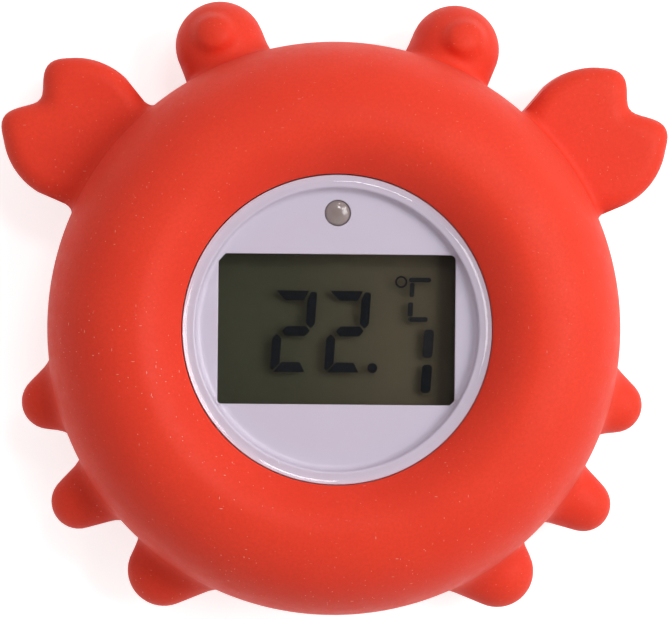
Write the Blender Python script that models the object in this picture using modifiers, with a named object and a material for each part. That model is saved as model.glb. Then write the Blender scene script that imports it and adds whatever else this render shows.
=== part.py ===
"""Crab-shaped bath thermometer for a baby's tub.

A hollow silicone crab holds a round sealed pod with a digital display. The crab lies
on its flat underside, its eyes point to +Y and the display faces +Z. The origin is on
the axis of the round body, in the plane that the thermometer rests on. Metres.
"""
import math

import bmesh
import bpy
from mathutils import Matrix, Vector

# Clearances
FIT = 0.0003             # between pieces that touch or slide into each other
SEAL_GAP = 0.00015       # beside a seal or between stacked sheets
OVERLAP = 0.0006         # how far a joined shape reaches into its neighbour
CUT_OVER = 0.002         # how far a cutter runs past the face it cuts

# Points round a full turn
RING_SEGMENTS = 40
HOLLOW_SEGMENTS = 28
POD_SEGMENTS = 28
LUMP_SEGMENTS = 12
LUMP_RINGS = 8
SMALL_SEGMENTS = 16      # lamp, epoxy blob, temperature cap and water contacts
SCREW_SEGMENTS = 10
WIRE_SEGMENTS = 6

# Crab sleeve: the round body
RING_R = 0.0388          # widest radius of the round body
RING_H = 0.0280          # its height
CREST_R = 0.0273         # radius of its highest line
CREST_ROUND = 0.0033     # rounding between the highest line and the funnel
FUNNEL_SLOPE = math.radians(37.8)
SLEEVE_WALL = 0.0030     # thickness of the hollow round wall
HOLLOW_DROP = 0.0010     # how far the hollow's inner top corner is lowered under the funnel
GRIP_T = 0.0030          # thickness of the two collars that grip the pod
LIP_H = 0.0015           # height of the lip under the pod
LIP_REACH = 0.0014       # how far that lip reaches under the pod
LIP_ROUND = 0.0004

# Crab sleeve: claws, eyes and legs, on the right side and mirrored to the left
LUMP_Z = 0.0082          # middle height of claws, eyes and legs
INNER_HALF = 0.01        # a ball of radius 1 is stretched where its X is below minus this
CLAW_ANGLE = math.radians(37.0)
CLAW_HALF_T = 0.0062     # half thickness of the claw before it is smoothed
CLAW_ROOT = 0.0055       # how far the claw starts inside the widest radius
CLAW_NECK = 0.0086       # half width where the claw leaves the body
CLAW_WIDE = 0.0103       # half width of the palm
CLAW_OUT = 0.0151        # how far the finger tips stand out
CLAW_TIP_AT = 0.0049     # half distance between the finger tips
CLAW_NOTCH_OUT = 0.0092  # where the notch between the fingers ends
CLAW_PALM = 0.0055       # where the palm is widest
CLAW_SHOULDER = 0.0108   # where the fingers begin to round off
CLAW_SHOULDER_W = 0.0080 # half width there
EYE_ANGLE = math.radians(67.4)
EYE_R = 0.00605
EYE_OUT = 0.0024         # centre of the eye's ball, beyond the widest radius
EYE_STALK = 0.0050
PUPIL_R = 0.0024
PUPIL_PROUD = 0.0015     # how far the pupil stands out of the eye
PUPIL_LEAN = 0.0024      # its sideways distance from the eye's centre
PUPIL_AIM = math.radians(54.5)
LEG_HALF_H = 0.0045
# Each leg: angle below +X, half width, how far it stands out, how far in its middle is
LEGS = (
    (math.radians(14.7), 0.00460, 0.0044, 0.0004),
    (math.radians(34.7), 0.00475, 0.0063, 0.0002),
    (math.radians(56.0), 0.00575, 0.0057, 0.0002),
)

# Pod: shells and lens
POD_R = 0.0210
LENS_T = 0.0016
LENS_PROUD = 0.0007      # top of the lens above the foot of the sleeve's funnel
LENS_ROUND = 0.0009
SPIGOT_H = 0.0004
RIM_W = 0.0021           # width of the white rim under the lens
FACE_DEPTH = 0.0017      # face below the rim
FACE_T = 0.0012
FRONT_WALL = 0.0011
REAR_WALL = 0.0016
FLANGE_W = 0.0018        # how far the shells' flanges stand out into the sleeve
FLANGE_T = 0.0014
SEAL_R = 0.00055         # radius of the ring seal's section

# Window and lamp hole in the face
WINDOW_W = 0.0316
WINDOW_H = 0.0200
WINDOW_CORNER = 0.0008
LAMP_Y = 0.0155
LAMP_R = 0.0015
LAMP_HOLE_R = 0.00175
LAMP_H = 0.0046
LAMP_PROUD = 0.0004
LAMP_FLANGE_R = 0.00175
LAMP_FLANGE_T = 0.0008
LAMP_LEG_W = 0.0005
LAMP_LEG_X = 0.00127     # half the distance between its legs

# Display stack
GLASS_W = 0.0322
GLASS_FRONT_H = 0.0240
GLASS_REAR_H = 0.0206
GLASS_T = 0.0010
GLASS_CORNER = 0.0015
REFLECTOR_T = 0.00025
REFLECTOR_INSET = 0.0003
HOLDER_W = 0.0330
HOLDER_L = 0.0250
HOLDER_H = 0.0039
HOLDER_LAND = 0.0004     # left beside the strips when its corners are cut off
HOLDER_OPEN_W = 0.0270
HOLDER_OPEN_L = 0.0165
STRIP_W = 0.0012         # width of each rubber connector strip
STRIP_L = 0.0270
STRIP_Y = 0.01115
HOLDER_CORNER = (HOLDER_W - STRIP_L) / 2 - HOLDER_LAND

# Circuit board and what it carries
BOARD_T = 0.0010
BOARD_EDGE = 0.0003
BLOB_R = 0.0042
BLOB_H = 0.0013
BLOB_AT = (-0.0010, 0.0050)
CRYSTAL_R = 0.0010
CRYSTAL_L = 0.0060
CRYSTAL_AT = (-0.0080, -0.0070)
CHIP_W = 0.0020
CHIP_D = 0.00125
RESISTOR_H = 0.0005
CAPACITOR_H = 0.0010
RESISTORS_AT = ((-0.0085, 0.0060), (-0.0085, 0.0085), (-0.0085, 0.0110))
CAPACITORS_AT = ((0.0060, -0.0080), (0.0095, -0.0080))

# Battery compartment in the rear shell
CELL_R = 0.0100
CELL_H = 0.0032
CELL_CAP_R = 0.0089
CELL_STEP = 0.0003
CELL_EDGE = 0.0003
CONTACT_ROOM = 0.0012
CONTACT_T = 0.00025
CONTACT_W = 0.0030
WELL_WALL = 0.0012
FLOOR_T = 0.0015
COVER_R = 0.0142
COVER_T = 0.0018
COVER_EDGE = 0.0003
GASKET_T = 0.0005
GASKET_W = 0.0036
SLOT_W = 0.0009
CLIP_PLAY = 0.0009       # room beside the battery for the side clip's spring
POCKET_WALL = 0.0010
LEAF_X = 0.0060          # where the leaf's leg leaves the well
LEAF_BEND_X = 0.0020     # where the leaf bends down, and on the other side touches the cap
LEAF_TIP_X = 0.0040

# Screws
SCREW_R = 0.00085
SCREW_HEAD_R = 0.00145
SCREW_HEAD_H = 0.0008
SCREW_CROWN_R = 0.0012   # flat middle of its head
SCREW_EDGE_H = 0.0003    # rise of its head's rounded edge
SCREW_HOLE_R = 0.00115
SCREW_SINK_R = 0.00175
CROSS_L = 0.0018
CROSS_W = 0.0004
CROSS_D = 0.0004
COVER_SCREW_IN = 0.0020  # cover screws lie this far inside the cover's edge
COVER_SCREW_AT = COVER_R - COVER_SCREW_IN
COVER_SCREW_ANGLES = (90, 210, 330)
COVER_SINK = 0.0012
COVER_SCREW_L = 0.0048
COVER_BOSS_R = 0.00185
POD_SCREW_AT = 0.0170
POD_SCREW_ANGLES = (60, 120, 240, 300)
POD_SINK = 0.0060
POD_SCREW_L = 0.0110
REAR_POST_R = 0.0027
FRONT_POST_R = 0.0019

# Sensing parts in the rear shell
PROBE_AT = 0.0169        # distance of the temperature cap from the axis
PROBE_R = 0.0013
PROBE_WALL = 0.00035
PROBE_FLANGE = 0.0006
PROBE_FLANGE_T = 0.0004
BEAD_R = 0.0006
WIRE_R = 0.00015
WIRE_GAP = 0.0007
PIN_AT = 0.0170          # distance of each water contact from the axis
PIN_R = 0.0008
PIN_HEAD_R = 0.00145
PIN_HEAD_H = 0.0009
PIN_SINK = 0.0014

# Heights counted down from the lens
POD_BORE_R = POD_R + FIT
FUNNEL_TOP_R = CREST_R - CREST_ROUND * math.sin(FUNNEL_SLOPE)
FUNNEL_TOP_Z = RING_H - CREST_ROUND * (1 - math.cos(FUNNEL_SLOPE))
FUNNEL_FOOT_Z = FUNNEL_TOP_Z - (FUNNEL_TOP_R - POD_BORE_R) * math.tan(FUNNEL_SLOPE)
LENS_TOP = FUNNEL_FOOT_Z + LENS_PROUD
LENS_BOTTOM = LENS_TOP - LENS_T
RIM_TOP = LENS_BOTTOM - FIT
FACE_TOP = RIM_TOP - FACE_DEPTH
FACE_BOTTOM = FACE_TOP - FACE_T
FRONT_GLASS_TOP = FACE_BOTTOM - FIT
REAR_GLASS_TOP = FRONT_GLASS_TOP - GLASS_T - SEAL_GAP
REFLECTOR_TOP = REAR_GLASS_TOP - GLASS_T - SEAL_GAP
HOLDER_TOP = REFLECTOR_TOP - REFLECTOR_T - SEAL_GAP
BOARD_TOP = HOLDER_TOP - HOLDER_H - SEAL_GAP
BOARD_BOTTOM = BOARD_TOP - BOARD_T
SEAM_Z = BOARD_BOTTOM
REAR_TOP = SEAM_Z - FIT / 2
FRONT_BOTTOM = SEAM_Z + FIT / 2

# Heights counted up from the resting plane
RECESS_TOP = COVER_T + 2 * SEAL_GAP + GASKET_T
FLOOR_TOP = RECESS_TOP + FLOOR_T
CELL_BOTTOM = COVER_T + FIT
CELL_TOP = CELL_BOTTOM + CELL_H
WELL_CEILING = CELL_TOP + CONTACT_ROOM
WELL_TOP = WELL_CEILING + WELL_WALL
STEP_Z = LIP_H + FIT
COVER_SCREW_SEAT = COVER_SINK - FIT
COVER_SCREW_TIP = COVER_SCREW_SEAT + COVER_SCREW_L
POD_SCREW_SEAT = POD_SINK - FIT
POD_SCREW_TIP = POD_SCREW_SEAT + POD_SCREW_L
SEAL_DEPTH = SEAL_R + SEAL_GAP - FIT / 2

# Radii that follow
RIM_IN_R = POD_R - RIM_W
FRONT_IN_R = POD_R - FRONT_WALL
REAR_IN_R = POD_R - REAR_WALL
FLANGE_R = POD_R + FLANGE_W
LIP_R = POD_R - LIP_REACH
BACK_R = LIP_R - FIT
RECESS_R = COVER_R + FIT
WELL_R = CELL_R + FIT
WELL_OUT_R = WELL_R + WELL_WALL
GRIP_R = POD_BORE_R + GRIP_T
SEAL_CIRCLE_R = (REAR_IN_R + FLANGE_R) / 2
CLIP_X = CELL_R + CLIP_PLAY


def clear_scene():
    """Remove every object and collection that the file holds."""
    for obj in list(bpy.data.objects):
        bpy.data.objects.remove(obj, do_unlink=True)
    for group in list(bpy.data.collections):
        bpy.data.collections.remove(group)


def make_collection(name):
    """A new collection in the scene."""
    group = bpy.data.collections.new(name)
    bpy.context.scene.collection.children.link(group)
    return group


clear_scene()
PARTS = make_collection("crab_bath_thermometer")
CUTTERS = make_collection("cutters")


def finish(name, colour, roughness, metallic=0.0):
    """A Principled material with one colour, given as linear red, green and blue."""
    material = bpy.data.materials.new(name)
    material.use_nodes = True
    shader = material.node_tree.nodes["Principled BSDF"]
    shader.inputs["Base Color"].default_value = (*colour, 1.0)
    shader.inputs["Roughness"].default_value = roughness
    shader.inputs["Metallic"].default_value = metallic
    return material


SILICONE = finish("red_silicone", (0.78, 0.060, 0.035), 0.55)
CLEAR = finish("clear_polycarbonate", (0.86, 0.85, 0.90), 0.08)
WHITE = finish("lavender_white_abs", (0.60, 0.55, 0.64), 0.35)
SEAL = finish("grey_seal_rubber", (0.20, 0.20, 0.21), 0.70)
GLASS = finish("display_glass", (0.075, 0.075, 0.055), 0.10)
FOIL = finish("display_reflector", (0.22, 0.22, 0.18), 0.45, 0.4)
HOLDER = finish("holder_nylon", (0.70, 0.70, 0.68), 0.50)
STRIP = finish("connector_rubber", (0.55, 0.12, 0.10), 0.60)
BOARD = finish("board_laminate", (0.03, 0.16, 0.06), 0.40)
EPOXY = finish("black_epoxy", (0.01, 0.01, 0.01), 0.30)
CERAMIC = finish("chip_ceramic", (0.30, 0.22, 0.14), 0.45)
LAMP = finish("lamp_epoxy", (0.36, 0.30, 0.27), 0.15)
STEEL = finish("stainless_steel", (0.60, 0.60, 0.60), 0.28, 1.0)
NICKEL = finish("nickel_plate", (0.66, 0.62, 0.56), 0.22, 1.0)


def add_object(name, mesh, material=None):
    """A visible piece in the parts collection, or a cutter where no material is given."""
    obj = bpy.data.objects.new(name, mesh)
    if material:
        PARTS.objects.link(obj)
        obj.data.materials.append(material)
    else:
        CUTTERS.objects.link(obj)
        obj.hide_render = True
        obj.display_type = "WIRE"
    return obj


def from_bmesh(name, work, material=None, smooth=False):
    """An object from a bmesh, which is freed."""
    for face in work.faces:
        face.smooth = smooth
    mesh = bpy.data.meshes.new(name)
    work.to_mesh(mesh)
    work.free()
    return add_object(name, mesh, material)


def turned(name, profile, material=None, segments=POD_SEGMENTS, loop=False, at=(0, 0, 0)):
    """A profile of (radius, height) turned about Z. It runs down its outer side."""
    mesh = bpy.data.meshes.new(name)
    edges = [(i, i + 1) for i in range(len(profile) - 1)]
    if loop:
        edges.append((len(profile) - 1, 0))
    mesh.from_pydata([(radius, 0, height) for radius, height in profile], edges, [])
    obj = add_object(name, mesh, material)
    obj.location = at
    screw = obj.modifiers.new("turn", "SCREW")
    screw.steps = segments
    screw.render_steps = segments
    screw.use_merge_vertices = True
    screw.merge_threshold = 0.00001
    return obj


def disc(name, radius, low, high, material=None, segments=POD_SEGMENTS, at=(0, 0)):
    """A plain round plate or pin between two heights."""
    profile = [(0, high), (radius, high), (radius, low), (0, low)]
    return turned(name, profile, material, segments, at=(at[0], at[1], 0))


def block(name, size, centre, material=None, turn=0.0):
    """A box of a size about a centre, turned about Z."""
    work = bmesh.new()
    place = Matrix.Translation(centre) @ Matrix.Rotation(turn, 4, "Z")
    bmesh.ops.create_cube(work, size=1.0, matrix=place @ Matrix.Diagonal((*size, 1)))
    return from_bmesh(name, work, material)


def plate(name, outline, low, high, material=None):
    """A flat outline of (x, y) points, anticlockwise, given a thickness."""
    work = bmesh.new()
    face = work.faces.new([work.verts.new((x, y, low)) for x, y in outline])
    raised = bmesh.ops.extrude_face_region(work, geom=[face])
    top = [v for v in raised["geom"] if isinstance(v, bmesh.types.BMVert)]
    bmesh.ops.translate(work, verts=top, vec=(0, 0, high - low))
    bmesh.ops.recalc_face_normals(work, faces=work.faces)
    return from_bmesh(name, work, material)


def cut_corner_outline(width, length, corner):
    """A rectangle about the origin with its four corners cut at 45 degrees."""
    x, y = width / 2, length / 2
    return [
        (x - corner, -y), (x, -y + corner), (x, y - corner), (x - corner, y),
        (-x + corner, y), (-x, y - corner), (-x, -y + corner), (-x + corner, -y),
    ]


def combine(target, other, operation):
    """Join another object to the target, or cut it out."""
    boolean = target.modifiers.new(other.name, "BOOLEAN")
    boolean.operation = operation
    boolean.object = other
    boolean.solver = "EXACT"


def cut(target, *others):
    for other in others:
        combine(target, other, "DIFFERENCE")


def join(target, *others):
    for other in others:
        combine(target, other, "UNION")


def mirror_in_x(obj):
    """Add the same shape on the other side of the crab."""
    mirror = obj.modifiers.new("other_side", "MIRROR")
    mirror.use_mirror_merge = False
    mirror.merge_threshold = 0.00001


def on_circle(radius, degrees):
    angle = math.radians(degrees)
    return radius * math.cos(angle), radius * math.sin(angle)


def arc(centre, radii, start, end, steps):
    """Points of an elliptic arc in (radius, height), from start to end in degrees."""
    points = []
    for i in range(steps + 1):
        angle = math.radians(start + (end - start) * i / steps)
        points.append((centre[0] + radii[0] * math.cos(angle), centre[1] + radii[1] * math.sin(angle)))
    return points


def sleeve_profile():
    """Section of the round body: funnel, crest, bulging side, flat underside and lip."""
    half = RING_H / 2
    side = (RING_R - CREST_R, half)
    slope = math.degrees(FUNNEL_SLOPE)
    crest_centre = (CREST_R, RING_H - CREST_ROUND)
    profile = [(POD_BORE_R, FUNNEL_FOOT_Z)]
    profile += arc(crest_centre, (CREST_ROUND, CREST_ROUND), 90 + slope, 90, 2)
    profile += arc((CREST_R, half), side, 90, -90, 10)[1:]
    profile += [(LIP_R + LIP_ROUND, 0), (LIP_R, LIP_ROUND), (LIP_R, LIP_H), (POD_BORE_R, LIP_H)]
    return profile


def cavity_profile():
    """Section of the hollow in the round body, with the groove that takes the flanges."""
    half = RING_H / 2
    inner_side = (RING_R - SLEEVE_WALL - CREST_R, half - SLEEVE_WALL)
    groove_top = FRONT_BOTTOM + FLANGE_T + FIT
    groove_bottom = REAR_TOP - FLANGE_T - FIT
    corner_z = RING_H - SLEEVE_WALL - (CREST_R - GRIP_R) * math.tan(FUNNEL_SLOPE)
    profile = [(GRIP_R, corner_z - HOLLOW_DROP)]
    profile += arc((CREST_R, half), inner_side, 90, -90, 6)
    profile += [
        (GRIP_R, SLEEVE_WALL), (GRIP_R, groove_bottom), (POD_BORE_R - CUT_OVER, groove_bottom),
        (POD_BORE_R - CUT_OVER, groove_top), (GRIP_R, groove_top),
    ]
    return profile


def radial_frame(angle, out, height):
    """Axes for a lump on the side: X points outwards, Y along the side, Z up."""
    return Matrix.Rotation(angle, 4, "Z") @ Matrix.Translation((RING_R + out, 0, height))


def claw():
    """A coarse cage in the claw's own axes, rounded by subdivision.

    Each row runs across the claw, from the root inside the body to the two finger tips.
    """
    half_rows = (
        ((-CLAW_ROOT, 0), (-CLAW_ROOT, CLAW_NECK / 2), (-CLAW_ROOT, CLAW_NECK)),
        ((0, 0), (0, CLAW_NECK / 2), (0, CLAW_NECK)),
        ((CLAW_PALM, 0), (CLAW_PALM, CLAW_WIDE / 2), (CLAW_PALM, CLAW_WIDE)),
        ((CLAW_NOTCH_OUT, 0), (CLAW_OUT, CLAW_TIP_AT), (CLAW_SHOULDER, CLAW_SHOULDER_W)),
    )
    rows = [[(x, -y) for x, y in reversed(row[1:])] + list(row) for row in half_rows]
    work = bmesh.new()
    layers = []
    for z in (-CLAW_HALF_T, CLAW_HALF_T):
        layers.append([[work.verts.new((x, y, z)) for x, y in row] for row in rows])
    last = len(rows[0]) - 1
    for layer in layers:
        for row, following in zip(layer, layer[1:]):
            for i in range(last):
                work.faces.new((row[i], row[i + 1], following[i + 1], following[i]))
    for low, high in zip(*[rim_of(layer) for layer in layers]):
        work.faces.new((*low, *reversed(high)))
    bmesh.ops.recalc_face_normals(work, faces=work.faces)
    bmesh.ops.transform(work, matrix=radial_frame(CLAW_ANGLE, 0, LUMP_Z), verts=work.verts)
    obj = from_bmesh("claw", work, smooth=True)
    smooth = obj.modifiers.new("smooth", "SUBSURF")
    smooth.levels = 1
    smooth.render_levels = 1
    mirror_in_x(obj)
    return obj


def rim_of(layer):
    """The edges round a grid of vertices, each as its two ends in order."""
    loop = list(layer[0]) + [row[-1] for row in layer[1:-1]] + list(reversed(layer[-1]))
    loop += [row[0] for row in reversed(layer[1:-1])]
    return list(zip(loop, loop[1:] + loop[:1]))


def ball(name, radii, place, stretch=0.0):
    """An ellipsoid with its poles on X. A stretch draws its inner half inwards."""
    work = bmesh.new()
    poles_on_x = Matrix.Rotation(math.pi / 2, 4, "Y")
    bmesh.ops.create_uvsphere(work, u_segments=LUMP_SEGMENTS, v_segments=LUMP_RINGS, radius=1.0,
                              matrix=poles_on_x)
    for vert in work.verts:
        pull = stretch if vert.co.x < -INNER_HALF else 0.0
        vert.co = Vector((vert.co.x * radii[0] - pull, vert.co.y * radii[1], vert.co.z * radii[2]))
    bmesh.ops.transform(work, matrix=place, verts=work.verts)
    obj = from_bmesh(name, work, smooth=True)
    mirror_in_x(obj)
    return obj


def eye():
    return ball("eye", (EYE_R,) * 3, radial_frame(EYE_ANGLE, EYE_OUT, LUMP_Z), EYE_STALK)


def pupil():
    """A small ball that stands out of the eye, up and towards its outer side."""
    reach = EYE_R + PUPIL_PROUD - PUPIL_R
    rise = math.sqrt(reach ** 2 - PUPIL_LEAN ** 2)
    lean = Vector((PUPIL_LEAN * math.cos(PUPIL_AIM), PUPIL_LEAN * math.sin(PUPIL_AIM), rise))
    centre = radial_frame(EYE_ANGLE, EYE_OUT, LUMP_Z).to_translation()
    return ball("pupil", (PUPIL_R,) * 3, Matrix.Translation(centre + lean))


def leg(index):
    angle, half_width, out, inside = LEGS[index]
    radii = (out + inside, half_width, LEG_HALF_H)
    return ball(f"leg_{index + 1}", radii, radial_frame(-angle, -inside, LUMP_Z))


def crab_sleeve():
    """The one-piece silicone crab: round body, lumps, then its hollow."""
    sleeve = turned("crab_sleeve", sleeve_profile(), SILICONE, RING_SEGMENTS, loop=True)
    join(sleeve, claw(), eye(), pupil())
    join(sleeve, *[leg(i) for i in range(len(LEGS))])
    cut(sleeve, turned("hollow", cavity_profile(), None, HOLLOW_SEGMENTS, loop=True))
    return sleeve


def lens():
    """Clear front cap with a rounded edge and a low spigot inside the rim."""
    spigot_r = RIM_IN_R - FIT
    edge = arc((POD_R - LENS_ROUND, LENS_TOP - LENS_ROUND), (LENS_ROUND,) * 2, 90, 0, 3)
    profile = [(0, LENS_TOP)] + edge + [
        (POD_R, LENS_BOTTOM), (spigot_r, LENS_BOTTOM),
        (spigot_r, LENS_BOTTOM - SPIGOT_H), (0, LENS_BOTTOM - SPIGOT_H),
    ]
    return turned("lens", profile, CLEAR)


def seal_groove(face, depth):
    """Half of the ring seal's groove in a flange's face."""
    half = SEAL_R + SEAL_GAP
    outer, inner = SEAL_CIRCLE_R + half, SEAL_CIRCLE_R - half
    return [(outer, face), (outer, face + depth), (inner, face + depth), (inner, face)]


def front_shell():
    """White shell with a sunk face, a window and four screw posts."""
    profile = [
        (0, FACE_TOP), (RIM_IN_R, FACE_TOP), (RIM_IN_R, RIM_TOP), (POD_R, RIM_TOP),
        (POD_R, FRONT_BOTTOM + FLANGE_T), (FLANGE_R, FRONT_BOTTOM + FLANGE_T),
        (FLANGE_R, FRONT_BOTTOM),
    ]
    profile += seal_groove(FRONT_BOTTOM, SEAL_DEPTH)
    profile += [(FRONT_IN_R, FRONT_BOTTOM), (FRONT_IN_R, FACE_BOTTOM), (0, FACE_BOTTOM)]
    shell = turned("front_shell", profile, WHITE)
    low, high = FACE_BOTTOM - CUT_OVER, FACE_TOP + CUT_OVER
    window = cut_corner_outline(WINDOW_W, WINDOW_H, WINDOW_CORNER)
    cut(shell, plate("window", window, low, high))
    cut(shell, disc("lamp_hole", LAMP_HOLE_R, low, high, None, SMALL_SEGMENTS, (0, LAMP_Y)))
    post_bottom = BOARD_TOP + FIT
    for number, degrees in enumerate(POD_SCREW_ANGLES, 1):
        at = on_circle(POD_SCREW_AT, degrees)
        join(shell, disc(f"front_post_{number}", FRONT_POST_R, post_bottom,
                         FACE_BOTTOM + OVERLAP, None, SCREW_SEGMENTS, at))
        cut(shell, disc(f"front_pilot_{number}", SCREW_HOLE_R, post_bottom - CUT_OVER,
                        POD_SCREW_TIP + FIT, None, SCREW_SEGMENTS, at))
    return shell


def sunk_hole(name, hole_r, sink_r, depth, high, at):
    """A cutter for a hole up to a height, widened below a depth for a screw's head."""
    profile = [(0, high), (hole_r, high), (hole_r, depth), (sink_r, depth),
               (sink_r, -CUT_OVER), (0, -CUT_OVER)]
    return turned(name, profile, None, SCREW_SEGMENTS, at=(at[0], at[1], 0))


def rear_shell():
    """White rear shell: battery well, screw bosses, and holes for the sensing parts."""
    profile = [
        (0, WELL_TOP), (WELL_OUT_R, WELL_TOP), (WELL_OUT_R, FLOOR_TOP), (REAR_IN_R, FLOOR_TOP),
        (REAR_IN_R, REAR_TOP),
    ]
    profile += list(reversed(seal_groove(REAR_TOP, -SEAL_DEPTH)))
    profile += [
        (FLANGE_R, REAR_TOP), (FLANGE_R, REAR_TOP - FLANGE_T), (POD_R, REAR_TOP - FLANGE_T),
        (POD_R, STEP_Z), (BACK_R, STEP_Z), (BACK_R, COVER_EDGE), (BACK_R - COVER_EDGE, 0),
        (RECESS_R, 0), (RECESS_R, RECESS_TOP), (WELL_R, RECESS_TOP), (WELL_R, WELL_CEILING),
        (0, WELL_CEILING),
    ]
    shell = turned("rear_shell", profile, WHITE)
    low = FLOOR_TOP - OVERLAP
    for number, degrees in enumerate(COVER_SCREW_ANGLES, 1):
        at = on_circle(COVER_SCREW_AT, degrees)
        join(shell, disc(f"cover_boss_{number}", COVER_BOSS_R, low, WELL_TOP - OVERLAP,
                         None, SCREW_SEGMENTS, at))
        cut(shell, disc(f"cover_pilot_{number}", SCREW_HOLE_R, 0, COVER_SCREW_TIP + FIT,
                        None, SCREW_SEGMENTS, at))
    for number, degrees in enumerate(POD_SCREW_ANGLES, 1):
        at = on_circle(POD_SCREW_AT, degrees)
        join(shell, disc(f"rear_post_{number}", REAR_POST_R, low, BOARD_BOTTOM - FIT,
                         None, SCREW_SEGMENTS, at))
        cut(shell, sunk_hole(f"rear_sink_{number}", SCREW_HOLE_R, SCREW_SINK_R, POD_SINK,
                             BOARD_BOTTOM + CUT_OVER, at))
    for side in (-1, 1):
        cut(shell, sunk_hole("pin_hole", PIN_R + FIT, PIN_HEAD_R + FIT, PIN_SINK,
                             FLOOR_TOP + CUT_OVER, (side * PIN_AT, 0)))
    cut(shell, disc("probe_hole", PROBE_R + FIT, -CUT_OVER, FLOOR_TOP + CUT_OVER,
                    None, SCREW_SEGMENTS, (0, -PROBE_AT)))
    pocket_out = CLIP_X + CONTACT_T / 2 + FIT
    pocket_w = CONTACT_W + 2 * FIT
    bulge_in, bulge_out = WELL_R + FIT, pocket_out + POCKET_WALL
    bulge_size = (bulge_out - bulge_in, pocket_w + 2 * POCKET_WALL, WELL_TOP - low - OVERLAP)
    join(shell, block("clip_bulge", bulge_size,
                      (-(bulge_in + bulge_out) / 2, 0, (WELL_TOP + low - OVERLAP) / 2)))
    cut(shell, block("clip_pocket", (pocket_out - WELL_R + CUT_OVER, pocket_w,
                                     WELL_CEILING - RECESS_TOP + CUT_OVER),
                     (-(pocket_out + WELL_R - CUT_OVER) / 2, 0,
                      (WELL_CEILING + RECESS_TOP - CUT_OVER) / 2)))
    for x in (-CLIP_X, LEAF_X):
        cut(shell, block("contact_slot", (SLOT_W, pocket_w, WELL_WALL + 2 * CUT_OVER),
                         (x, 0, WELL_TOP - WELL_WALL / 2)))
    return shell


def shell_seal():
    """Rubber ring between the two flanges."""
    profile = arc((SEAL_CIRCLE_R, SEAM_Z), (SEAL_R, SEAL_R), 90, -180, 3)
    return turned("shell_seal", profile, SEAL, loop=True)


def display():
    """Two glass plates, the reflector under them, their holder and the rubber connectors."""
    front = cut_corner_outline(GLASS_W, GLASS_FRONT_H, GLASS_CORNER)
    plate("display_front_glass", front, FRONT_GLASS_TOP - GLASS_T, FRONT_GLASS_TOP, GLASS)
    rear_size = (GLASS_W, GLASS_REAR_H, GLASS_T)
    block("display_rear_glass", rear_size, (0, 0, REAR_GLASS_TOP - GLASS_T / 2), GLASS)
    foil_size = (GLASS_W - 2 * REFLECTOR_INSET, GLASS_REAR_H - 2 * REFLECTOR_INSET, REFLECTOR_T)
    block("display_reflector", foil_size, (0, 0, REFLECTOR_TOP - REFLECTOR_T / 2), FOIL)

    low, high = BOARD_TOP + SEAL_GAP, HOLDER_TOP
    outline = cut_corner_outline(HOLDER_W, HOLDER_L, HOLDER_CORNER)
    holder = plate("display_holder", outline, low, high, HOLDER)
    middle = (low + high) / 2
    deep = high - low + 2 * CUT_OVER
    cut(holder, block("holder_opening", (HOLDER_OPEN_W, HOLDER_OPEN_L, deep), (0, 0, middle)))
    strip_low = BOARD_TOP + SEAL_GAP
    strip_high = FRONT_GLASS_TOP - GLASS_T - SEAL_GAP
    for side, word in ((1, "upper"), (-1, "lower")):
        slot = (STRIP_L + 2 * FIT, STRIP_W + 2 * SEAL_GAP, deep)
        cut(holder, block("strip_slot", slot, (0, side * STRIP_Y, middle)))
        block(f"connector_strip_{word}", (STRIP_L, STRIP_W, strip_high - strip_low),
              (0, side * STRIP_Y, (strip_low + strip_high) / 2), STRIP)


def circuit_board():
    """Round board with four screw holes and two holes for the lamp's legs."""
    board = disc("circuit_board", REAR_IN_R - BOARD_EDGE, BOARD_BOTTOM, BOARD_TOP, BOARD)
    low, high = BOARD_BOTTOM - CUT_OVER, BOARD_TOP + CUT_OVER
    for degrees in POD_SCREW_ANGLES:
        at = on_circle(POD_SCREW_AT, degrees)
        cut(board, disc("board_hole", SCREW_HOLE_R, low, high, None, SCREW_SEGMENTS, at))
    for side in (-1, 1):
        at = (side * LAMP_LEG_X, LAMP_Y)
        hole = LAMP_LEG_W / math.sqrt(2) + SEAL_GAP
        cut(board, disc("leg_hole", hole, low, high, None, WIRE_SEGMENTS, at))


def board_parts():
    """Chip under its epoxy blob, crystal, resistors and capacitors below the board."""
    seat = BOARD_BOTTOM - SEAL_GAP
    dome = arc((0, seat), (BLOB_R, BLOB_H), 0, -90, 4)
    turned("chip_blob", [(0, seat)] + dome, EPOXY, SMALL_SEGMENTS, at=(*BLOB_AT, 0))
    crystal = disc("crystal_can", CRYSTAL_R, -CRYSTAL_L / 2, CRYSTAL_L / 2, STEEL, SCREW_SEGMENTS)
    crystal.location = (*CRYSTAL_AT, seat - CRYSTAL_R)
    crystal.rotation_euler = (0, math.pi / 2, 0)
    for word, places, height in (
        ("resistor", RESISTORS_AT, RESISTOR_H), ("capacitor", CAPACITORS_AT, CAPACITOR_H),
    ):
        for number, (x, y) in enumerate(places, 1):
            size = (CHIP_W, CHIP_D, height)
            block(f"{word}_{number}", size, (x, y, seat - height / 2), CERAMIC)


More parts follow.
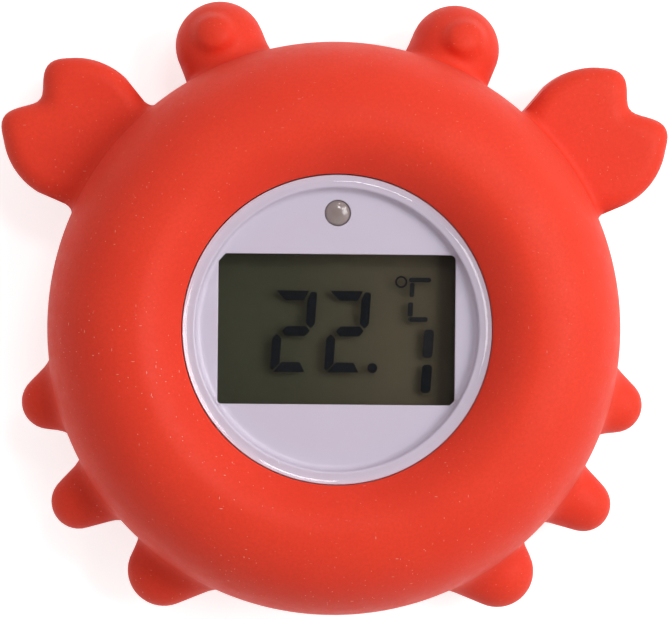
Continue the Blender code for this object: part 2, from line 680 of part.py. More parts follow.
def status_lamp():
    """Lamp under the face's small hole, and its two legs down to the board."""
    top = FACE_TOP + LAMP_PROUD
    low = top - LAMP_H
    dome = arc((0, top - LAMP_R), (LAMP_R, LAMP_R), 90, 0, 4)
    profile = dome + [(LAMP_R, low + LAMP_FLANGE_T), (LAMP_FLANGE_R, low + LAMP_FLANGE_T),
                      (LAMP_FLANGE_R, low), (0, low)]
    turned("status_lamp", profile, LAMP, SMALL_SEGMENTS, at=(0, LAMP_Y, 0))
    leg_top, leg_bottom = low - SEAL_GAP, BOARD_BOTTOM - LAMP_LEG_W
    for number, side in ((1, -1), (2, 1)):
        block(f"lamp_leg_{number}", (LAMP_LEG_W, LAMP_LEG_W, leg_top - leg_bottom),
              (side * LAMP_LEG_X, LAMP_Y, (leg_top + leg_bottom) / 2), NICKEL)


def sensing_parts():
    """Temperature cap with its bead and wires, and the two water contacts."""
    flange_low = FLOOR_TOP + FIT
    flange_high = flange_low + PROBE_FLANGE_T
    bore_r = PROBE_R - PROBE_WALL
    profile = [
        (0, FIT + PROBE_WALL), (bore_r, FIT + PROBE_WALL), (bore_r, flange_high),
        (PROBE_R + PROBE_FLANGE, flange_high), (PROBE_R + PROBE_FLANGE, flange_low),
        (PROBE_R, flange_low), (PROBE_R, 2 * FIT), (PROBE_R - FIT, FIT), (0, FIT),
    ]
    turned("temperature_cap", profile, STEEL, SMALL_SEGMENTS, at=(0, -PROBE_AT, 0))
    bead_z = FIT + PROBE_WALL + FIT + BEAD_R
    bead = arc((0, bead_z), (BEAD_R, BEAD_R), 90, -90, 6)
    turned("thermistor_bead", bead, EPOXY, SCREW_SEGMENTS, at=(0, -PROBE_AT, 0))
    for number, side in ((1, -1), (2, 1)):
        at = (side * WIRE_GAP / 2, -PROBE_AT)
        disc(f"thermistor_wire_{number}", WIRE_R, bead_z + BEAD_R + SEAL_GAP,
             BOARD_BOTTOM - SEAL_GAP, NICKEL, WIRE_SEGMENTS, at)
    head_top = PIN_SINK - FIT
    head_low = head_top - PIN_HEAD_H
    for side, word in ((-1, "left"), (1, "right")):
        profile = [
            (0, BOARD_BOTTOM - SEAL_GAP), (PIN_R, BOARD_BOTTOM - SEAL_GAP), (PIN_R, head_top),
            (PIN_HEAD_R, head_top), (PIN_HEAD_R, head_low + SEAL_GAP),
            (PIN_HEAD_R - SEAL_GAP, head_low), (0, head_low),
        ]
        turned(f"water_contact_{word}", profile, STEEL, SMALL_SEGMENTS, at=(side * PIN_AT, 0, 0))


def battery_cover():
    """Round cover flush with the back, with three sunk screw holes."""
    profile = [(0, COVER_T), (COVER_R, COVER_T), (COVER_R, COVER_EDGE),
               (COVER_R - COVER_EDGE, 0), (0, 0)]
    cover = turned("battery_cover", profile, WHITE)
    low = COVER_T + SEAL_GAP
    high = low + GASKET_T
    gasket_in = COVER_R - GASKET_W
    ring = [(gasket_in, high), (COVER_R, high), (COVER_R, low), (gasket_in, low)]
    gasket = turned("cover_gasket", ring, SEAL, loop=True)
    for number, degrees in enumerate(COVER_SCREW_ANGLES, 1):
        at = on_circle(COVER_SCREW_AT, degrees)
        cut(cover, sunk_hole(f"cover_sink_{number}", SCREW_HOLE_R, SCREW_SINK_R, COVER_SINK,
                             COVER_T + CUT_OVER, at))
        cut(gasket, disc(f"gasket_hole_{number}", SCREW_HOLE_R, COVER_T - FIT, high + CUT_OVER,
                         None, SCREW_SEGMENTS, at))


def screw(name, seat, length, at, turn):
    """Pan-head screw that points up, its head's flat side at the seat."""
    low = seat - SCREW_HEAD_H
    profile = [
        (0, seat + length), (SCREW_R, seat + length - SCREW_R), (SCREW_R, seat),
        (SCREW_HEAD_R, seat), (SCREW_HEAD_R, low + SCREW_EDGE_H),
        (SCREW_CROWN_R, low), (0, low),
    ]
    body = turned(name, profile, STEEL, SCREW_SEGMENTS, at=(*at, 0))
    height = CROSS_D + CUT_OVER
    for index in (0, 1):
        blade = block("cross", (CROSS_L, CROSS_W, height), (*at, low + CROSS_D - height / 2),
                      turn=turn + index * math.pi / 2)
        cut(body, blade)


def screws():
    for number, degrees in enumerate(COVER_SCREW_ANGLES, 1):
        at = on_circle(COVER_SCREW_AT, degrees)
        screw(f"cover_screw_{number}", COVER_SCREW_SEAT, COVER_SCREW_L, at, number)
    for number, degrees in enumerate(POD_SCREW_ANGLES, 1):
        at = on_circle(POD_SCREW_AT, degrees)
        screw(f"pod_screw_{number}", POD_SCREW_SEAT, POD_SCREW_L, at, number)


def coin_cell():
    """Button battery: the can faces the cover, the smaller cap faces the board."""
    step = CELL_TOP - CELL_STEP
    profile = [
        (0, CELL_TOP), (CELL_CAP_R, CELL_TOP), (CELL_CAP_R, step), (CELL_R - CELL_EDGE, step),
        (CELL_R, step - CELL_EDGE), (CELL_R, CELL_BOTTOM + CELL_EDGE),
        (CELL_R - CELL_EDGE, CELL_BOTTOM), (0, CELL_BOTTOM),
    ]
    turned("coin_cell", profile, STEEL)


def bent_strip(name, path, material):
    """Sheet metal bent along a path of (x, z) points, with its width along Y."""
    work = bmesh.new()
    rows = [[work.verts.new((x, side * CONTACT_W / 2, z)) for x, z in path] for side in (-1, 1)]
    for i in range(len(path) - 1):
        work.faces.new((rows[0][i], rows[0][i + 1], rows[1][i + 1], rows[1][i]))
    obj = from_bmesh(name, work, material)
    wall = obj.modifiers.new("thickness", "SOLIDIFY")
    wall.thickness = CONTACT_T
    wall.offset = 0
    wall.use_even_offset = True
    return obj


def contacts():
    """Side clip on the battery's can, and the leaf that presses on its cap."""
    foot = BOARD_BOTTOM - SEAL_GAP
    half_t = CONTACT_T / 2
    touch_x = CELL_R + SEAL_GAP + half_t
    clip = [(-CLIP_X, foot), (-CLIP_X, CELL_TOP), (-touch_x, (CELL_TOP + CELL_BOTTOM) / 2),
            (-CLIP_X, CELL_BOTTOM + CELL_H / 4)]
    bent_strip("battery_clip", clip, NICKEL)
    roof = WELL_CEILING - SEAL_GAP - half_t
    touch_z = CELL_TOP + SEAL_GAP + half_t
    leaf = [(LEAF_X, foot), (LEAF_X, roof), (LEAF_BEND_X, roof), (-LEAF_BEND_X, touch_z),
            (-LEAF_TIP_X, roof - CONTACT_T)]
    bent_strip("battery_leaf", leaf, NICKEL)


crab_sleeve()
lens()
front_shell()
rear_shell()
shell_seal()
display()
circuit_board()
board_parts()
status_lamp()
sensing_parts()
battery_cover()
screws()
coin_cell()
contacts()
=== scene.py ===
"""Looks of the crab-shaped bath thermometer, on the fixed frame of its CAD solids.

Lengths in this script are in millimetres and become metres where a mesh is made.
"""

import math

import bmesh
import bpy
import numpy as np
from mathutils import Matrix, Vector

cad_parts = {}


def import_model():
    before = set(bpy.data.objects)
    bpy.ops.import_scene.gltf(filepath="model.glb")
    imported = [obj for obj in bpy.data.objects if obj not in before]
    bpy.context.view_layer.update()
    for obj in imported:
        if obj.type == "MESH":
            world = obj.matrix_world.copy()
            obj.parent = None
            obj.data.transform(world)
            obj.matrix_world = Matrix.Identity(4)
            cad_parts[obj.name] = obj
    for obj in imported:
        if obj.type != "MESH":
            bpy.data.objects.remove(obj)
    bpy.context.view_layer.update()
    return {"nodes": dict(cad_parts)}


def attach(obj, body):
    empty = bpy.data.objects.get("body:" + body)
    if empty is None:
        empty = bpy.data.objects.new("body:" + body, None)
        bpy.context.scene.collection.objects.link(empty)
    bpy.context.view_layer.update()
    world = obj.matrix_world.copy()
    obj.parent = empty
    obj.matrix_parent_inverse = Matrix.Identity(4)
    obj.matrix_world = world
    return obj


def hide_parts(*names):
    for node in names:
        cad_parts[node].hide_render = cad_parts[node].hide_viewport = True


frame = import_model()
MM = 0.001

# Ring of the crab, as in the solids
RING_R = 38.8
RING_H = 28.0
CREST_R = 27.3
BORE_R = 21.3
FOOT_R = 20.88
FOOT_Z = 24.2
LIP_R = 19.6
LIP_H = 1.5
LUMP_Z = 8.2

# Pod
LENS_R = 20.75
LENS_TOP = 24.92
LENS_T = 1.6
RIM_TOP = 23.02
RIM_IN_R = 18.9
FACE_R = 17.6            # the face is plain as far as this
FACE_TOP = 21.32
FACE_BOTTOM = 20.12
WALL_IN_R = 19.9
WINDOW_HALF_W = 15.8
WINDOW_HALF_H = 10.0
WINDOW_ROUND = 0.7       # the window's corners: round at the upper right,
WINDOW_CUT_W = 0.95      # cut at the upper left,
WINDOW_CUT_H = 1.05
WINDOW_SMALL_ROUND = 0.5     # round at the lower left,
WINDOW_SMALL_CUT = 0.6       # cut at the lower right
LAMP_Y = 15.5
LAMP_R = 1.72
LAMP_DOME_H = 0.9
LAMP_HOLE_R = 1.75
LAMP_LENGTH = 4.6
LAMP_FLANGE_H = 0.8

# Flanges of the two shells, which meet on both sides of the seam with a groove for the seal
SEAM_Z = 12.07
SEAM_HALF = 0.15
FLANGE_R = 22.8
FLANGE_TOP = 13.62
FLANGE_T = 1.4
GROOVE_OUT_R = 21.8
GROOVE_IN_R = 20.4
GROOVE_DEPTH = 0.55

# Back: radius of the cover, and distances of screws, contacts and sensor from the axis
BACK_R = 19.3
COVER_R = 14.2
COVER_T = 1.8
COVER_SEAT_R = 14.5
COVER_SCREW_AT = 12.2
COVER_SCREW_ANGLES = (90, 210, 330)
COVER_SCREW_R = 1.15
SUNK_R = 1.75
POD_SCREW_AT = 17.0
POD_SCREW_ANGLES = (60, 120, 240, 300)
PIN_AT = 17.0
PIN_TOP = 11.92
PROBE_AT = 16.9
PROBE_HOLE_R = 1.6
BELOW = -1.0             # cutters start here, outside the back


# Meshes

def face_list(index):
    """Faces between neighbouring rows of vertex numbers; a repeated number is left out."""
    a, b = index[:-1, :-1], index[:-1, 1:]
    c, d = index[1:, 1:], index[1:, :-1]
    quads = np.stack([a, b, c, d], axis=-1).reshape(-1, 4)
    first = quads[:, 0] == quads[:, 1]
    last = quads[:, 2] == quads[:, 3]
    return (quads[~first & ~last].tolist() + quads[first & ~last][:, 1:].tolist()
            + quads[last & ~first][:, :3].tolist())


def new_object(name, points, faces, material=None):
    """An object at the origin with a mesh of the given points, in millimetres, and faces."""
    mesh = bpy.data.meshes.new(name)
    mesh.from_pydata((np.asarray(points, float).reshape(-1, 3) * MM).tolist(), [], faces)
    mesh.update()
    if material:
        mesh.materials.append(material)
    obj = bpy.data.objects.new(name, mesh)
    bpy.context.scene.collection.objects.link(obj)
    return obj


def declare(obj, node):
    """Hangs a piece on the root body and hides the solid that it replaces."""
    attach(obj, "root")
    if node:
        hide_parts(node)
    return obj


def smooth_piece(name, points, faces, material, node=None, sharp=35):
    """A smooth-shaded piece with its faces turned outwards. Edges above an angle stay sharp."""
    obj = new_object(name, points, faces, material)
    mesh = obj.data
    mesh.polygons.foreach_set("use_smooth", np.ones(len(mesh.polygons), bool))
    solid = bmesh.new()
    solid.from_mesh(mesh)
    if solid.calc_volume(signed=True) < 0:
        mesh.flip_normals()
    solid.free()
    mesh.update()
    mesh.set_sharp_from_angle(angle=math.radians(sharp))
    return declare(obj, node)


def closed_grid(points):
    """Faces of a grid of points whose rows and columns both run round."""
    rows, columns = points.shape[:2]
    index = np.arange(rows * columns).reshape(rows, columns)
    index = np.concatenate([index, index[:1]], axis=0)
    return face_list(np.concatenate([index, index[:, :1]], axis=1))


def rounded(corners, steps=4):
    """A line whose inner corners (x, y, radius) are replaced by arcs that touch both sides."""
    out = [corners[0][:2]]
    for before, (x, y, radius), after in zip(corners, corners[1:], corners[2:]):
        p = np.array((x, y), float)
        if not radius:
            out.append((x, y))
            continue
        a = np.array(before[:2], float) - p
        b = np.array(after[:2], float) - p
        a, b = a / np.linalg.norm(a), b / np.linalg.norm(b)
        half = math.acos(max(-1.0, min(1.0, float(a @ b)))) / 2
        centre = p + (a + b) / np.linalg.norm(a + b) * radius / math.sin(half)
        start = p + a * radius / math.tan(half) - centre
        end = p + b * radius / math.tan(half) - centre
        sweep = math.pi - 2 * half
        t = np.linspace(0, 1, steps + 1)[:, None] * sweep
        out += (centre + (start * np.sin(sweep - t) + end * np.sin(t)) / math.sin(sweep)).tolist()
    return out + [corners[-1][:2]]


def turned_mesh(profile, segments, at):
    """Points and faces of a profile of (r, z), turned once round a vertical axis.

    (x, y, z) = (x0 + r cos a, y0 + r sin a, z) for the axis at (x0, y0). A point at r = 0 is
    a pole, and only the first of its row is kept.
    """
    line = np.array(profile, float)
    angle = np.linspace(0, 2 * math.pi, segments, endpoint=False)
    r, z = line[:, :1], line[:, 1:]
    grid = np.stack([at[0] + r * np.cos(angle), at[1] + r * np.sin(angle), z + 0 * angle], axis=-1)
    kept = np.broadcast_to(r > 1e-6, grid.shape[:2]).copy()
    kept[:, 0] = True
    index = (np.cumsum(kept) - 1).reshape(kept.shape)
    return grid[kept], face_list(np.concatenate([index, index[:, :1]], axis=1))


def turned(name, profile, material, node, segments=160, at=(0, 0)):
    """A piece turned about a vertical axis."""
    points, faces = turned_mesh(profile, segments, at)
    return smooth_piece(name, points, faces, material, node)


def plates(name, outlines, low, high, material, node=None):
    """Flat outlines of (x, y), anticlockwise, each raised from one height to another."""
    points, faces, count = [], [], 0
    for outline in outlines:
        flat = np.array(outline, float)
        n = len(flat)
        points += [np.column_stack([flat, np.full(n, z)]) for z in (low, high)]
        edge = count + np.arange(n)
        after = np.roll(edge, -1)
        faces += [edge[::-1].tolist(), (edge + n).tolist()]
        faces += np.stack([edge, after, after + n, edge + n], axis=1).tolist()
        count += 2 * n
    return declare(new_object(name, np.concatenate(points), faces, material), node)


def round_cutter(name, profile, at, segments=40):
    """A turned shape with flat ends that only cuts, and is no part. cut_with hides it."""
    points, faces = turned_mesh(profile, segments, at)
    around = np.arange(segments)
    faces += [around[::-1].tolist(), (len(points) - segments + around).tolist()]
    obj = new_object(name, points, faces)
    return obj


def cut_with(obj, cutters):
    """Cuts holes with live Booleans. Flat faces keep their even shade beside the cuts."""
    for cutter in cutters:
        boolean = obj.modifiers.new("hole", "BOOLEAN")
        boolean.operation = "DIFFERENCE"
        boolean.solver = "EXACT"
        boolean.object = cutter
        cutter.hide_render = True
        cutter.display_type = "WIRE"
    even = obj.modifiers.new("even_shade", "WEIGHTED_NORMAL")
    even.weight = 100
    even.keep_sharp = True


# Materials. Sizes of patterns are in millimetres

def linear(code):
    """Linear colour with alpha 1 from an sRGB code such as #E8402F."""
    parts = [int(code[i:i + 2], 16) / 255 for i in (1, 3, 5)]
    return tuple(c / 12.92 if c <= 0.04045 else ((c + 0.055) / 1.055) ** 2.4 for c in parts) + (1.0,)


def add_node(tree, kind, inputs=None, **settings):
    """A shader node with its settings and links.

    An input is a constant, a socket to link, or a node, which stands for its first output.
    """
    node = tree.nodes.new("ShaderNode" + kind)
    for key, value in settings.items():
        setattr(node, key, value)
    for key, value in (inputs or {}).items():
        named = [s for s in node.inputs if s.enabled and s.name == key]
        socket = named[0] if named else node.inputs[key]
        if isinstance(value, bpy.types.Node):
            value = [s for s in value.outputs if s.enabled][0]
        if isinstance(value, bpy.types.NodeSocket):
            tree.links.new(value, socket)
        else:
            socket.default_value = value
    return node


def new_material(name):
    material = bpy.data.materials.new(name)
    material.use_nodes = True
    material.node_tree.nodes.clear()
    return material, material.node_tree


def in_millimetres(tree, stretch=(1, 1, 1), turn=(0, 0, 0)):
    """Object coordinates in millimetres, turned and stretched."""
    coordinates = add_node(tree, "TexCoord")
    return add_node(tree, "Mapping", {"Vector": coordinates.outputs["Object"], "Rotation": turn,
                    "Scale": tuple(1000 * s for s in stretch)})


def patches(tree, place, size, low, high, least=0.0, most=1.0, detail=3.0, rough=0.5):
    """Soft patches of a size: a noise, of which a middle range runs from least to most."""
    cloud = add_node(tree, "TexNoise", {"Vector": place, "Scale": 1 / size, "Detail": detail,
                     "Roughness": rough})
    return add_node(tree, "MapRange", {"Value": cloud, "From Min": low, "From Max": high,
                    "To Min": least, "To Max": most}, interpolation_type="SMOOTHSTEP")


def specks(tree, place, radius, share):
    """Dots or strokes of dust: the middles of a share of the cells of a cell pattern."""
    cells = add_node(tree, "TexVoronoi", {"Vector": place, "Scale": 1.0})
    near = add_node(tree, "MapRange", {"Value": cells, "From Min": radius,
                    "From Max": radius * 0.4}, interpolation_type="SMOOTHSTEP")
    parts = add_node(tree, "SeparateColor", {"Color": cells.outputs["Color"]})
    chosen = add_node(tree, "Math", {0: parts, 1: share}, operation="LESS_THAN")
    return add_node(tree, "Math", {0: near, 1: chosen}, operation="MULTIPLY")


def silicone():
    """Moulded silicone rubber: even red, matt, with a dusty sheen and a little lint.

    The colour has broad clouds and a fine mottle. Dust lies on it as dots every 0.8 mm and as
    short fibres that lie two ways, more of it to the lower left. Real dust is finer, and is
    drawn as coarse as it needs to show. The mould's grain of 0.2 mm breaks the gloss.
    """
    material, tree = new_material("red_silicone")
    place = in_millimetres(tree)
    tone = add_node(tree, "Mix", {"Factor": patches(tree, place, 8.333, 0.3, 0.7),
                    "A": linear("#E63C27"), "B": linear("#EA402A")}, data_type="RGBA")
    mottle = patches(tree, place, 0.4167, 0.30, 0.70, 0.0, 0.5, 4.0, 0.65)
    tone = add_node(tree, "Mix", {"Factor": mottle, "A": tone, "B": linear("#DC3824")},
                    data_type="RGBA")
    dots = specks(tree, in_millimetres(tree, (1.25, 1.25, 1.25), (0.3, 0.8, 0.2)), 0.14, 0.5)
    along = specks(tree, in_millimetres(tree, (1.1, 0.34, 0.9), (0.0, 0.0, 0.5)), 0.10, 0.55)
    across = specks(tree, in_millimetres(tree, (0.3, 1.15, 0.9), (0.0, 0.0, 0.35)), 0.10, 0.5)
    fibres = add_node(tree, "Math", {0: along, 1: across}, operation="MAXIMUM")
    dust = add_node(tree, "Math", {0: dots, 1: fibres}, operation="MAXIMUM")
    gathered = patches(tree, place, 11.11, 0.38, 0.60, 0.25, 0.85, 2.0)
    parts = add_node(tree, "SeparateXYZ", {"Vector": place})
    corner = add_node(tree, "Math", {0: parts.outputs["X"], 1: parts.outputs["Y"]},
                      operation="ADD")
    settled = add_node(tree, "MapRange", {"Value": corner, "From Min": -45.0, "From Max": 30.0,
                       "To Min": 1.0, "To Max": 0.4}, interpolation_type="SMOOTHSTEP")
    amount = add_node(tree, "Math", {0: gathered, 1: settled}, operation="MULTIPLY")
    amount = add_node(tree, "Math", {0: dust, 1: amount}, operation="MULTIPLY")
    colour = add_node(tree, "Mix", {"Factor": amount, "A": tone, "B": linear("#F09480")},
                      data_type="RGBA")
    grain = add_node(tree, "TexNoise", {"Vector": place, "Scale": 1 / 0.2, "Detail": 3.0,
                     "Roughness": 0.6})
    grain = add_node(tree, "Math", {0: grain, 1: 0.25}, operation="MULTIPLY")
    height = add_node(tree, "Math", {0: grain, 1: amount}, operation="ADD")
    relief = add_node(tree, "Bump", {"Height": height, "Distance": 0.035 * MM})
    shader = add_node(tree, "BsdfPrincipled", {"Base Color": colour, "Normal": relief,
                      "Roughness": patches(tree, place, 1.667, 0.3, 0.7, 0.50, 0.58, 4.0),
                      "IOR": 1.42, "Specular IOR Level": 0.20, "Sheen Weight": 0.05,
                      "Sheen Roughness": 0.45, "Sheen Tint": linear("#FFE4DC")})
    add_node(tree, "OutputMaterial", {"Surface": shader})
    return material


# What a surface shows: its darkest tone, the size and detail of its clouds of tone, the size of
# its patches of gloss, and the size and depth of its grain
SATIN = {"dark": 0.97, "cloud": 5.0, "detail": 2.0, "gloss": 1.25, "grain": 0.1667, "deep": 0.006}
FINE = {"dark": 0.90, "cloud": 0.6667, "detail": 3.0, "gloss": 0.4545, "grain": 0.125,
        "deep": 0.004}


def mottled(name, code, rough, surface, more=None, stretch=(1, 1, 1)):
    """A substance of one colour, with faint clouds, uneven gloss over a range, and a grain."""
    material, tree = new_material(name)
    place = in_millimetres(tree, stretch)
    base = linear(code)
    dark = tuple(c * surface["dark"] for c in base[:3]) + (1.0,)
    cloud = add_node(tree, "TexNoise", {"Vector": place, "Scale": 1 / surface["cloud"],
                     "Detail": surface["detail"]})
    colour = add_node(tree, "Mix", {"Factor": cloud, "A": dark, "B": base}, data_type="RGBA")
    grain = add_node(tree, "TexNoise", {"Vector": place, "Scale": 1 / surface["grain"]})
    relief = add_node(tree, "Bump", {"Height": grain, "Distance": surface["deep"] * MM})
    shader = add_node(tree, "BsdfPrincipled", {"Base Color": colour, "Normal": relief,
                      "Roughness": patches(tree, place, surface["gloss"], 0.3, 0.7, *rough),
                      **(more or {})})
    add_node(tree, "OutputMaterial", {"Surface": shader})
    return material


def plain(name, code, rough, more=None, stretch=(1, 1, 1)):
    """A finely mottled substance whose gloss varies by 15% up and down."""
    return mottled(name, code, (0.85 * rough, 1.15 * rough), FINE, more, stretch)


def see_through(name, tint, rough, ior, colour=(1, 1, 1, 1)):
    """Clear plastic or glass. Lamps shine through it, so that what is under it stays lit."""
    material, tree = new_material(name)
    haze = patches(tree, in_millimetres(tree), 1.111, 0.35, 0.7, rough, rough + 0.03)
    glass = add_node(tree, "BsdfPrincipled", {"Base Color": colour, "Roughness": haze,
                     "IOR": ior, "Transmission Weight": 1.0})
    clear = add_node(tree, "BsdfTransparent", {"Color": tint})
    path = add_node(tree, "LightPath")
    lit = add_node(tree, "Math", {0: path.outputs["Is Shadow Ray"],
                   1: path.outputs["Is Diffuse Ray"]}, operation="MAXIMUM")
    mixed = add_node(tree, "MixShader", {0: lit, 1: glass, 2: clear})
    add_node(tree, "OutputMaterial", {"Surface": mixed})
    return material


def display_backing():
    """Polyester film with a matt metal coat, behind a liquid crystal display that is on.

    It is grey-green and browner to the right, and gives no highlight. A painted shadow of the
    window's right edge darkens its right end.
    """
    material, tree = new_material("display_reflector")
    place = in_millimetres(tree)
    across = add_node(tree, "SeparateXYZ", {"Vector": place})
    browner = add_node(tree, "MapRange", {"Value": across, "From Min": -12.0, "From Max": 17.0},
                       interpolation_type="SMOOTHSTEP")
    colour = add_node(tree, "Mix", {"Factor": browner, "A": linear("#3A3B2D"),
                      "B": linear("#5C5344")}, data_type="RGBA")
    cloud = patches(tree, place, 0.4, 0.3, 0.75, 0.0, 0.25, 4.0, 0.7)
    colour = add_node(tree, "Mix", {"Factor": cloud, "A": colour, "B": linear("#4C4D3C")},
                      data_type="RGBA")
    # Painted shadow: the dark brown band that the window's right edge casts on the right end
    end = add_node(tree, "MapRange", {"Value": across, "From Min": 12.9, "From Max": 14.2,
                   "To Max": 0.45}, interpolation_type="SMOOTHSTEP")
    colour = add_node(tree, "Mix", {"Factor": end, "A": colour, "B": linear("#2C1F1A")},
                      data_type="RGBA")
    grain = add_node(tree, "TexNoise", {"Vector": place, "Scale": 1 / 0.0714})
    relief = add_node(tree, "Bump", {"Height": grain, "Distance": 0.01 * MM})
    shader = add_node(tree, "BsdfPrincipled", {"Base Color": colour, "Roughness": 0.55,
                      "Specular IOR Level": 0.1, "Normal": relief})
    add_node(tree, "OutputMaterial", {"Surface": shader})
    return material


SILICONE = silicone()
# Injection-moulded and polished polycarbonate: clear, glossy and faintly violet
CLEAR = see_through("clear_polycarbonate", (0.97, 0.965, 0.98, 1), 0.01, 1.5)
# Moulded ABS with a satin skin: pale lavender, with soft highlights on its edges
WHITE = mottled("lavender_white_abs", "#D4CCDB", (0.30, 0.39), SATIN, {"IOR": 1.5})
# Moulded rubber: dark grey and almost without gloss
SEAL = plain("grey_seal_rubber", "#4A4A4C", 0.7)
# Float glass of the display. Its reflections are kept low, as by its matt polariser
PANE = see_through("display_glass", (0.97, 0.97, 0.95, 1), 0.0, 1.15, (0.95, 0.95, 0.93, 1))
# The rear sheet of the same glass: it touches the liquid crystal, so it hardly reflects
INNER_PANE = see_through("display_inner_glass", (0.98, 0.98, 0.97, 1), 0.0, 1.05)
BACKING = display_backing()
# Liquid crystal that is switched on: near black with a touch of blue, quite matt
INK = plain("liquid_crystal", "#070B12", 0.65, {"Specular IOR Level": 0.08})
# Liquid crystal seen at a worse angle: dark grey
PALE_INK = plain("weak_liquid_crystal", "#1D1E22", 0.65, {"Specular IOR Level": 0.08})
# Moulded nylon: off-white, half matt
HOLDER = mottled("holder_nylon", "#D8D8D4", (0.46, 0.55), SATIN, {"IOR": 1.5})
# Layered silicone rubber connector: dull pink
STRIP = plain("connector_rubber", "#C06058", 0.6)
# Glass-fibre laminate under green solder resist: even and slightly shiny
BOARD = plain("board_laminate", "#206B38", 0.4)
# Potting epoxy, cured from a drop: black and glossy
EPOXY = plain("black_epoxy", "#121212", 0.25)
# Fired ceramic: brown-grey and satin
CERAMIC = plain("chip_ceramic", "#96806A", 0.45)
# Cast epoxy of the lamp: cloudy grey-brown under a smooth skin, with one small highlight
LAMP = plain("lamp_epoxy", "#9C8E88", 0.16, {
    "Coat Weight": 1.0, "Coat Roughness": 0.03, "Subsurface Weight": 0.3,
    "Subsurface Scale": 0.8 * MM, "Subsurface Radius": (1.0, 0.9, 0.8)})
# Turned stainless steel: grey, with fine lines along the height
STEEL = plain("stainless_steel", "#C8C8CA", 0.24, {"Metallic": 1.0}, (1, 1, 8))
# Nickel plating on a sprung contact: warm and bright
NICKEL = plain("nickel_plate", "#D2CCC0", 0.22, {"Metallic": 1.0})


# The silicone crab

CLAW_ANGLE = math.radians(37.0)
EYE_ANGLE = math.radians(67.4)
EYE_R = 6.05
EYE_OUT = 41.2
ROOT = 14.0              # how far claws and eyes run in to the ring
# Claw, along its axis from the ring's edge: the palm's centre and radius, lean of the finger's
# flank, where the tips end, and the notch with its slope, rounding and shift to the upper tip
PALM_OUT = 4.6
PALM_R = 9.82
FINGER_LEAN = math.radians(48.7)
FINGER_TIP = 15.72
NOTCH_OUT = 8.90
NOTCH_SLOPE = 1.21
NOTCH_ROUND = 2.88
NOTCH_ACROSS = 0.42
NOTCH_STEEP = 0.8        # brings the notch's field near a distance
NOTCH_FILLET = 4.0
TIP_FILLET = 1.6
CLAW_HALF = 5.2          # half its thickness at the root, which falls by a share of the way out
CLAW_THINNING = 0.05
CLAW_EDGE = 2.5          # rounding of its edge
# Pupil: radius of its foot and of its flat top, height, its low dome, and how much wider it is
NUB_R = 3.0
NUB_FLAT_R = 1.9
NUB_H = 0.9
NUB_DOME_R = 2.4
NUB_DOME_H = 0.4
NUB_WIDER = 1.12
# Fillets where the lumps meet the ring, and height of the circle that the skin's rays leave
LUMP_FILLET = 1.2
LEG_FILLET = 2.0
CORE_Z = 10.0
LEG_ROOT = 7.0
# Legs: place of the tip's centre (angle below +X, distance), tip radius, half opening, tilt,
# flattening of the height
LEGS = (
    (math.radians(14.6), 39.47, 3.77, math.radians(26.0), math.radians(5.5), 1.12),
    (math.radians(34.6), 41.38, 3.75, math.radians(15.5), math.radians(-3.6), 1.06),
    (math.radians(55.6), 39.66, 4.95, math.radians(20.9), math.radians(-12.6), 1.22),
)


def blend(a, b, width):
    """Smaller of two fields, with a fillet where they cross."""
    h = np.maximum(width - np.abs(a - b), 0) / width
    return np.minimum(a, b) - h * h * width / 4


def ring_field(x, y, z):
    """Ellipse section of the ring: distance to it, to first order."""
    px = (np.hypot(x, y) - CREST_R) / (RING_R - CREST_R)
    pz = (z - RING_H / 2) / (RING_H / 2)
    size = np.hypot(px, pz) + 1e-6
    slope = np.hypot(px / (RING_R - CREST_R), pz / (RING_H / 2)) / size
    return (size - 1) / (slope + 1e-6)


# How far each kind of lump sits from its place in the solids (outwards in X, and in Y), on
# the left and on the right: the soft moulding isn't quite even
SHIFTS = {
    -1: {"claw": (0.55, 0.41), "eye": (-0.20, 0.15), "leg": (0.20, -0.42)},
    1: {"claw": (0.67, -0.17), "eye": (0.50, -0.05), "leg": (0.42, -0.26)},
}


def claw_field(x, y, z):
    """Claw: a mitten outline with two tips and a V notch, given a rounded thickness.

    u runs outwards and v across. The outline is a round palm whose flanks run on as straight
    lines that touch it, cut off at the tips, less all that lies beyond
    u = N + S sqrt((v - A)^2 + R), a rounded V a little towards the upper tip. Its edge is
    rounded above and below.
    """
    u = x * math.cos(CLAW_ANGLE) + y * math.sin(CLAW_ANGLE) - RING_R
    v = -x * math.sin(CLAW_ANGLE) + y * math.cos(CLAW_ANGLE)
    width = np.abs(v)
    palm = np.hypot(np.maximum(u, 0.2) - PALM_OUT, width) - PALM_R
    flank = (u - PALM_OUT) * math.cos(FINGER_LEAN) + width * math.sin(FINGER_LEAN) - PALM_R
    beyond = (u - PALM_OUT) * math.sin(FINGER_LEAN) > width * math.cos(FINGER_LEAN)
    outline = -blend(-np.where(beyond, flank, palm), FINGER_TIP - u, TIP_FILLET)
    edge = NOTCH_OUT + NOTCH_SLOPE * np.sqrt((v - NOTCH_ACROSS) ** 2 + NOTCH_ROUND)
    outline = -blend(-outline, (edge - u) * NOTCH_STEEP, NOTCH_FILLET)
    across = outline + CLAW_EDGE
    rise = np.abs(z - LUMP_Z) - CLAW_HALF + CLAW_THINNING * np.maximum(u, 0) + CLAW_EDGE
    inner = np.minimum(np.maximum(across, rise), 0)
    body = np.hypot(np.maximum(across, 0), np.maximum(rise, 0)) + inner - CLAW_EDGE
    return np.maximum(body, -ROOT - u)


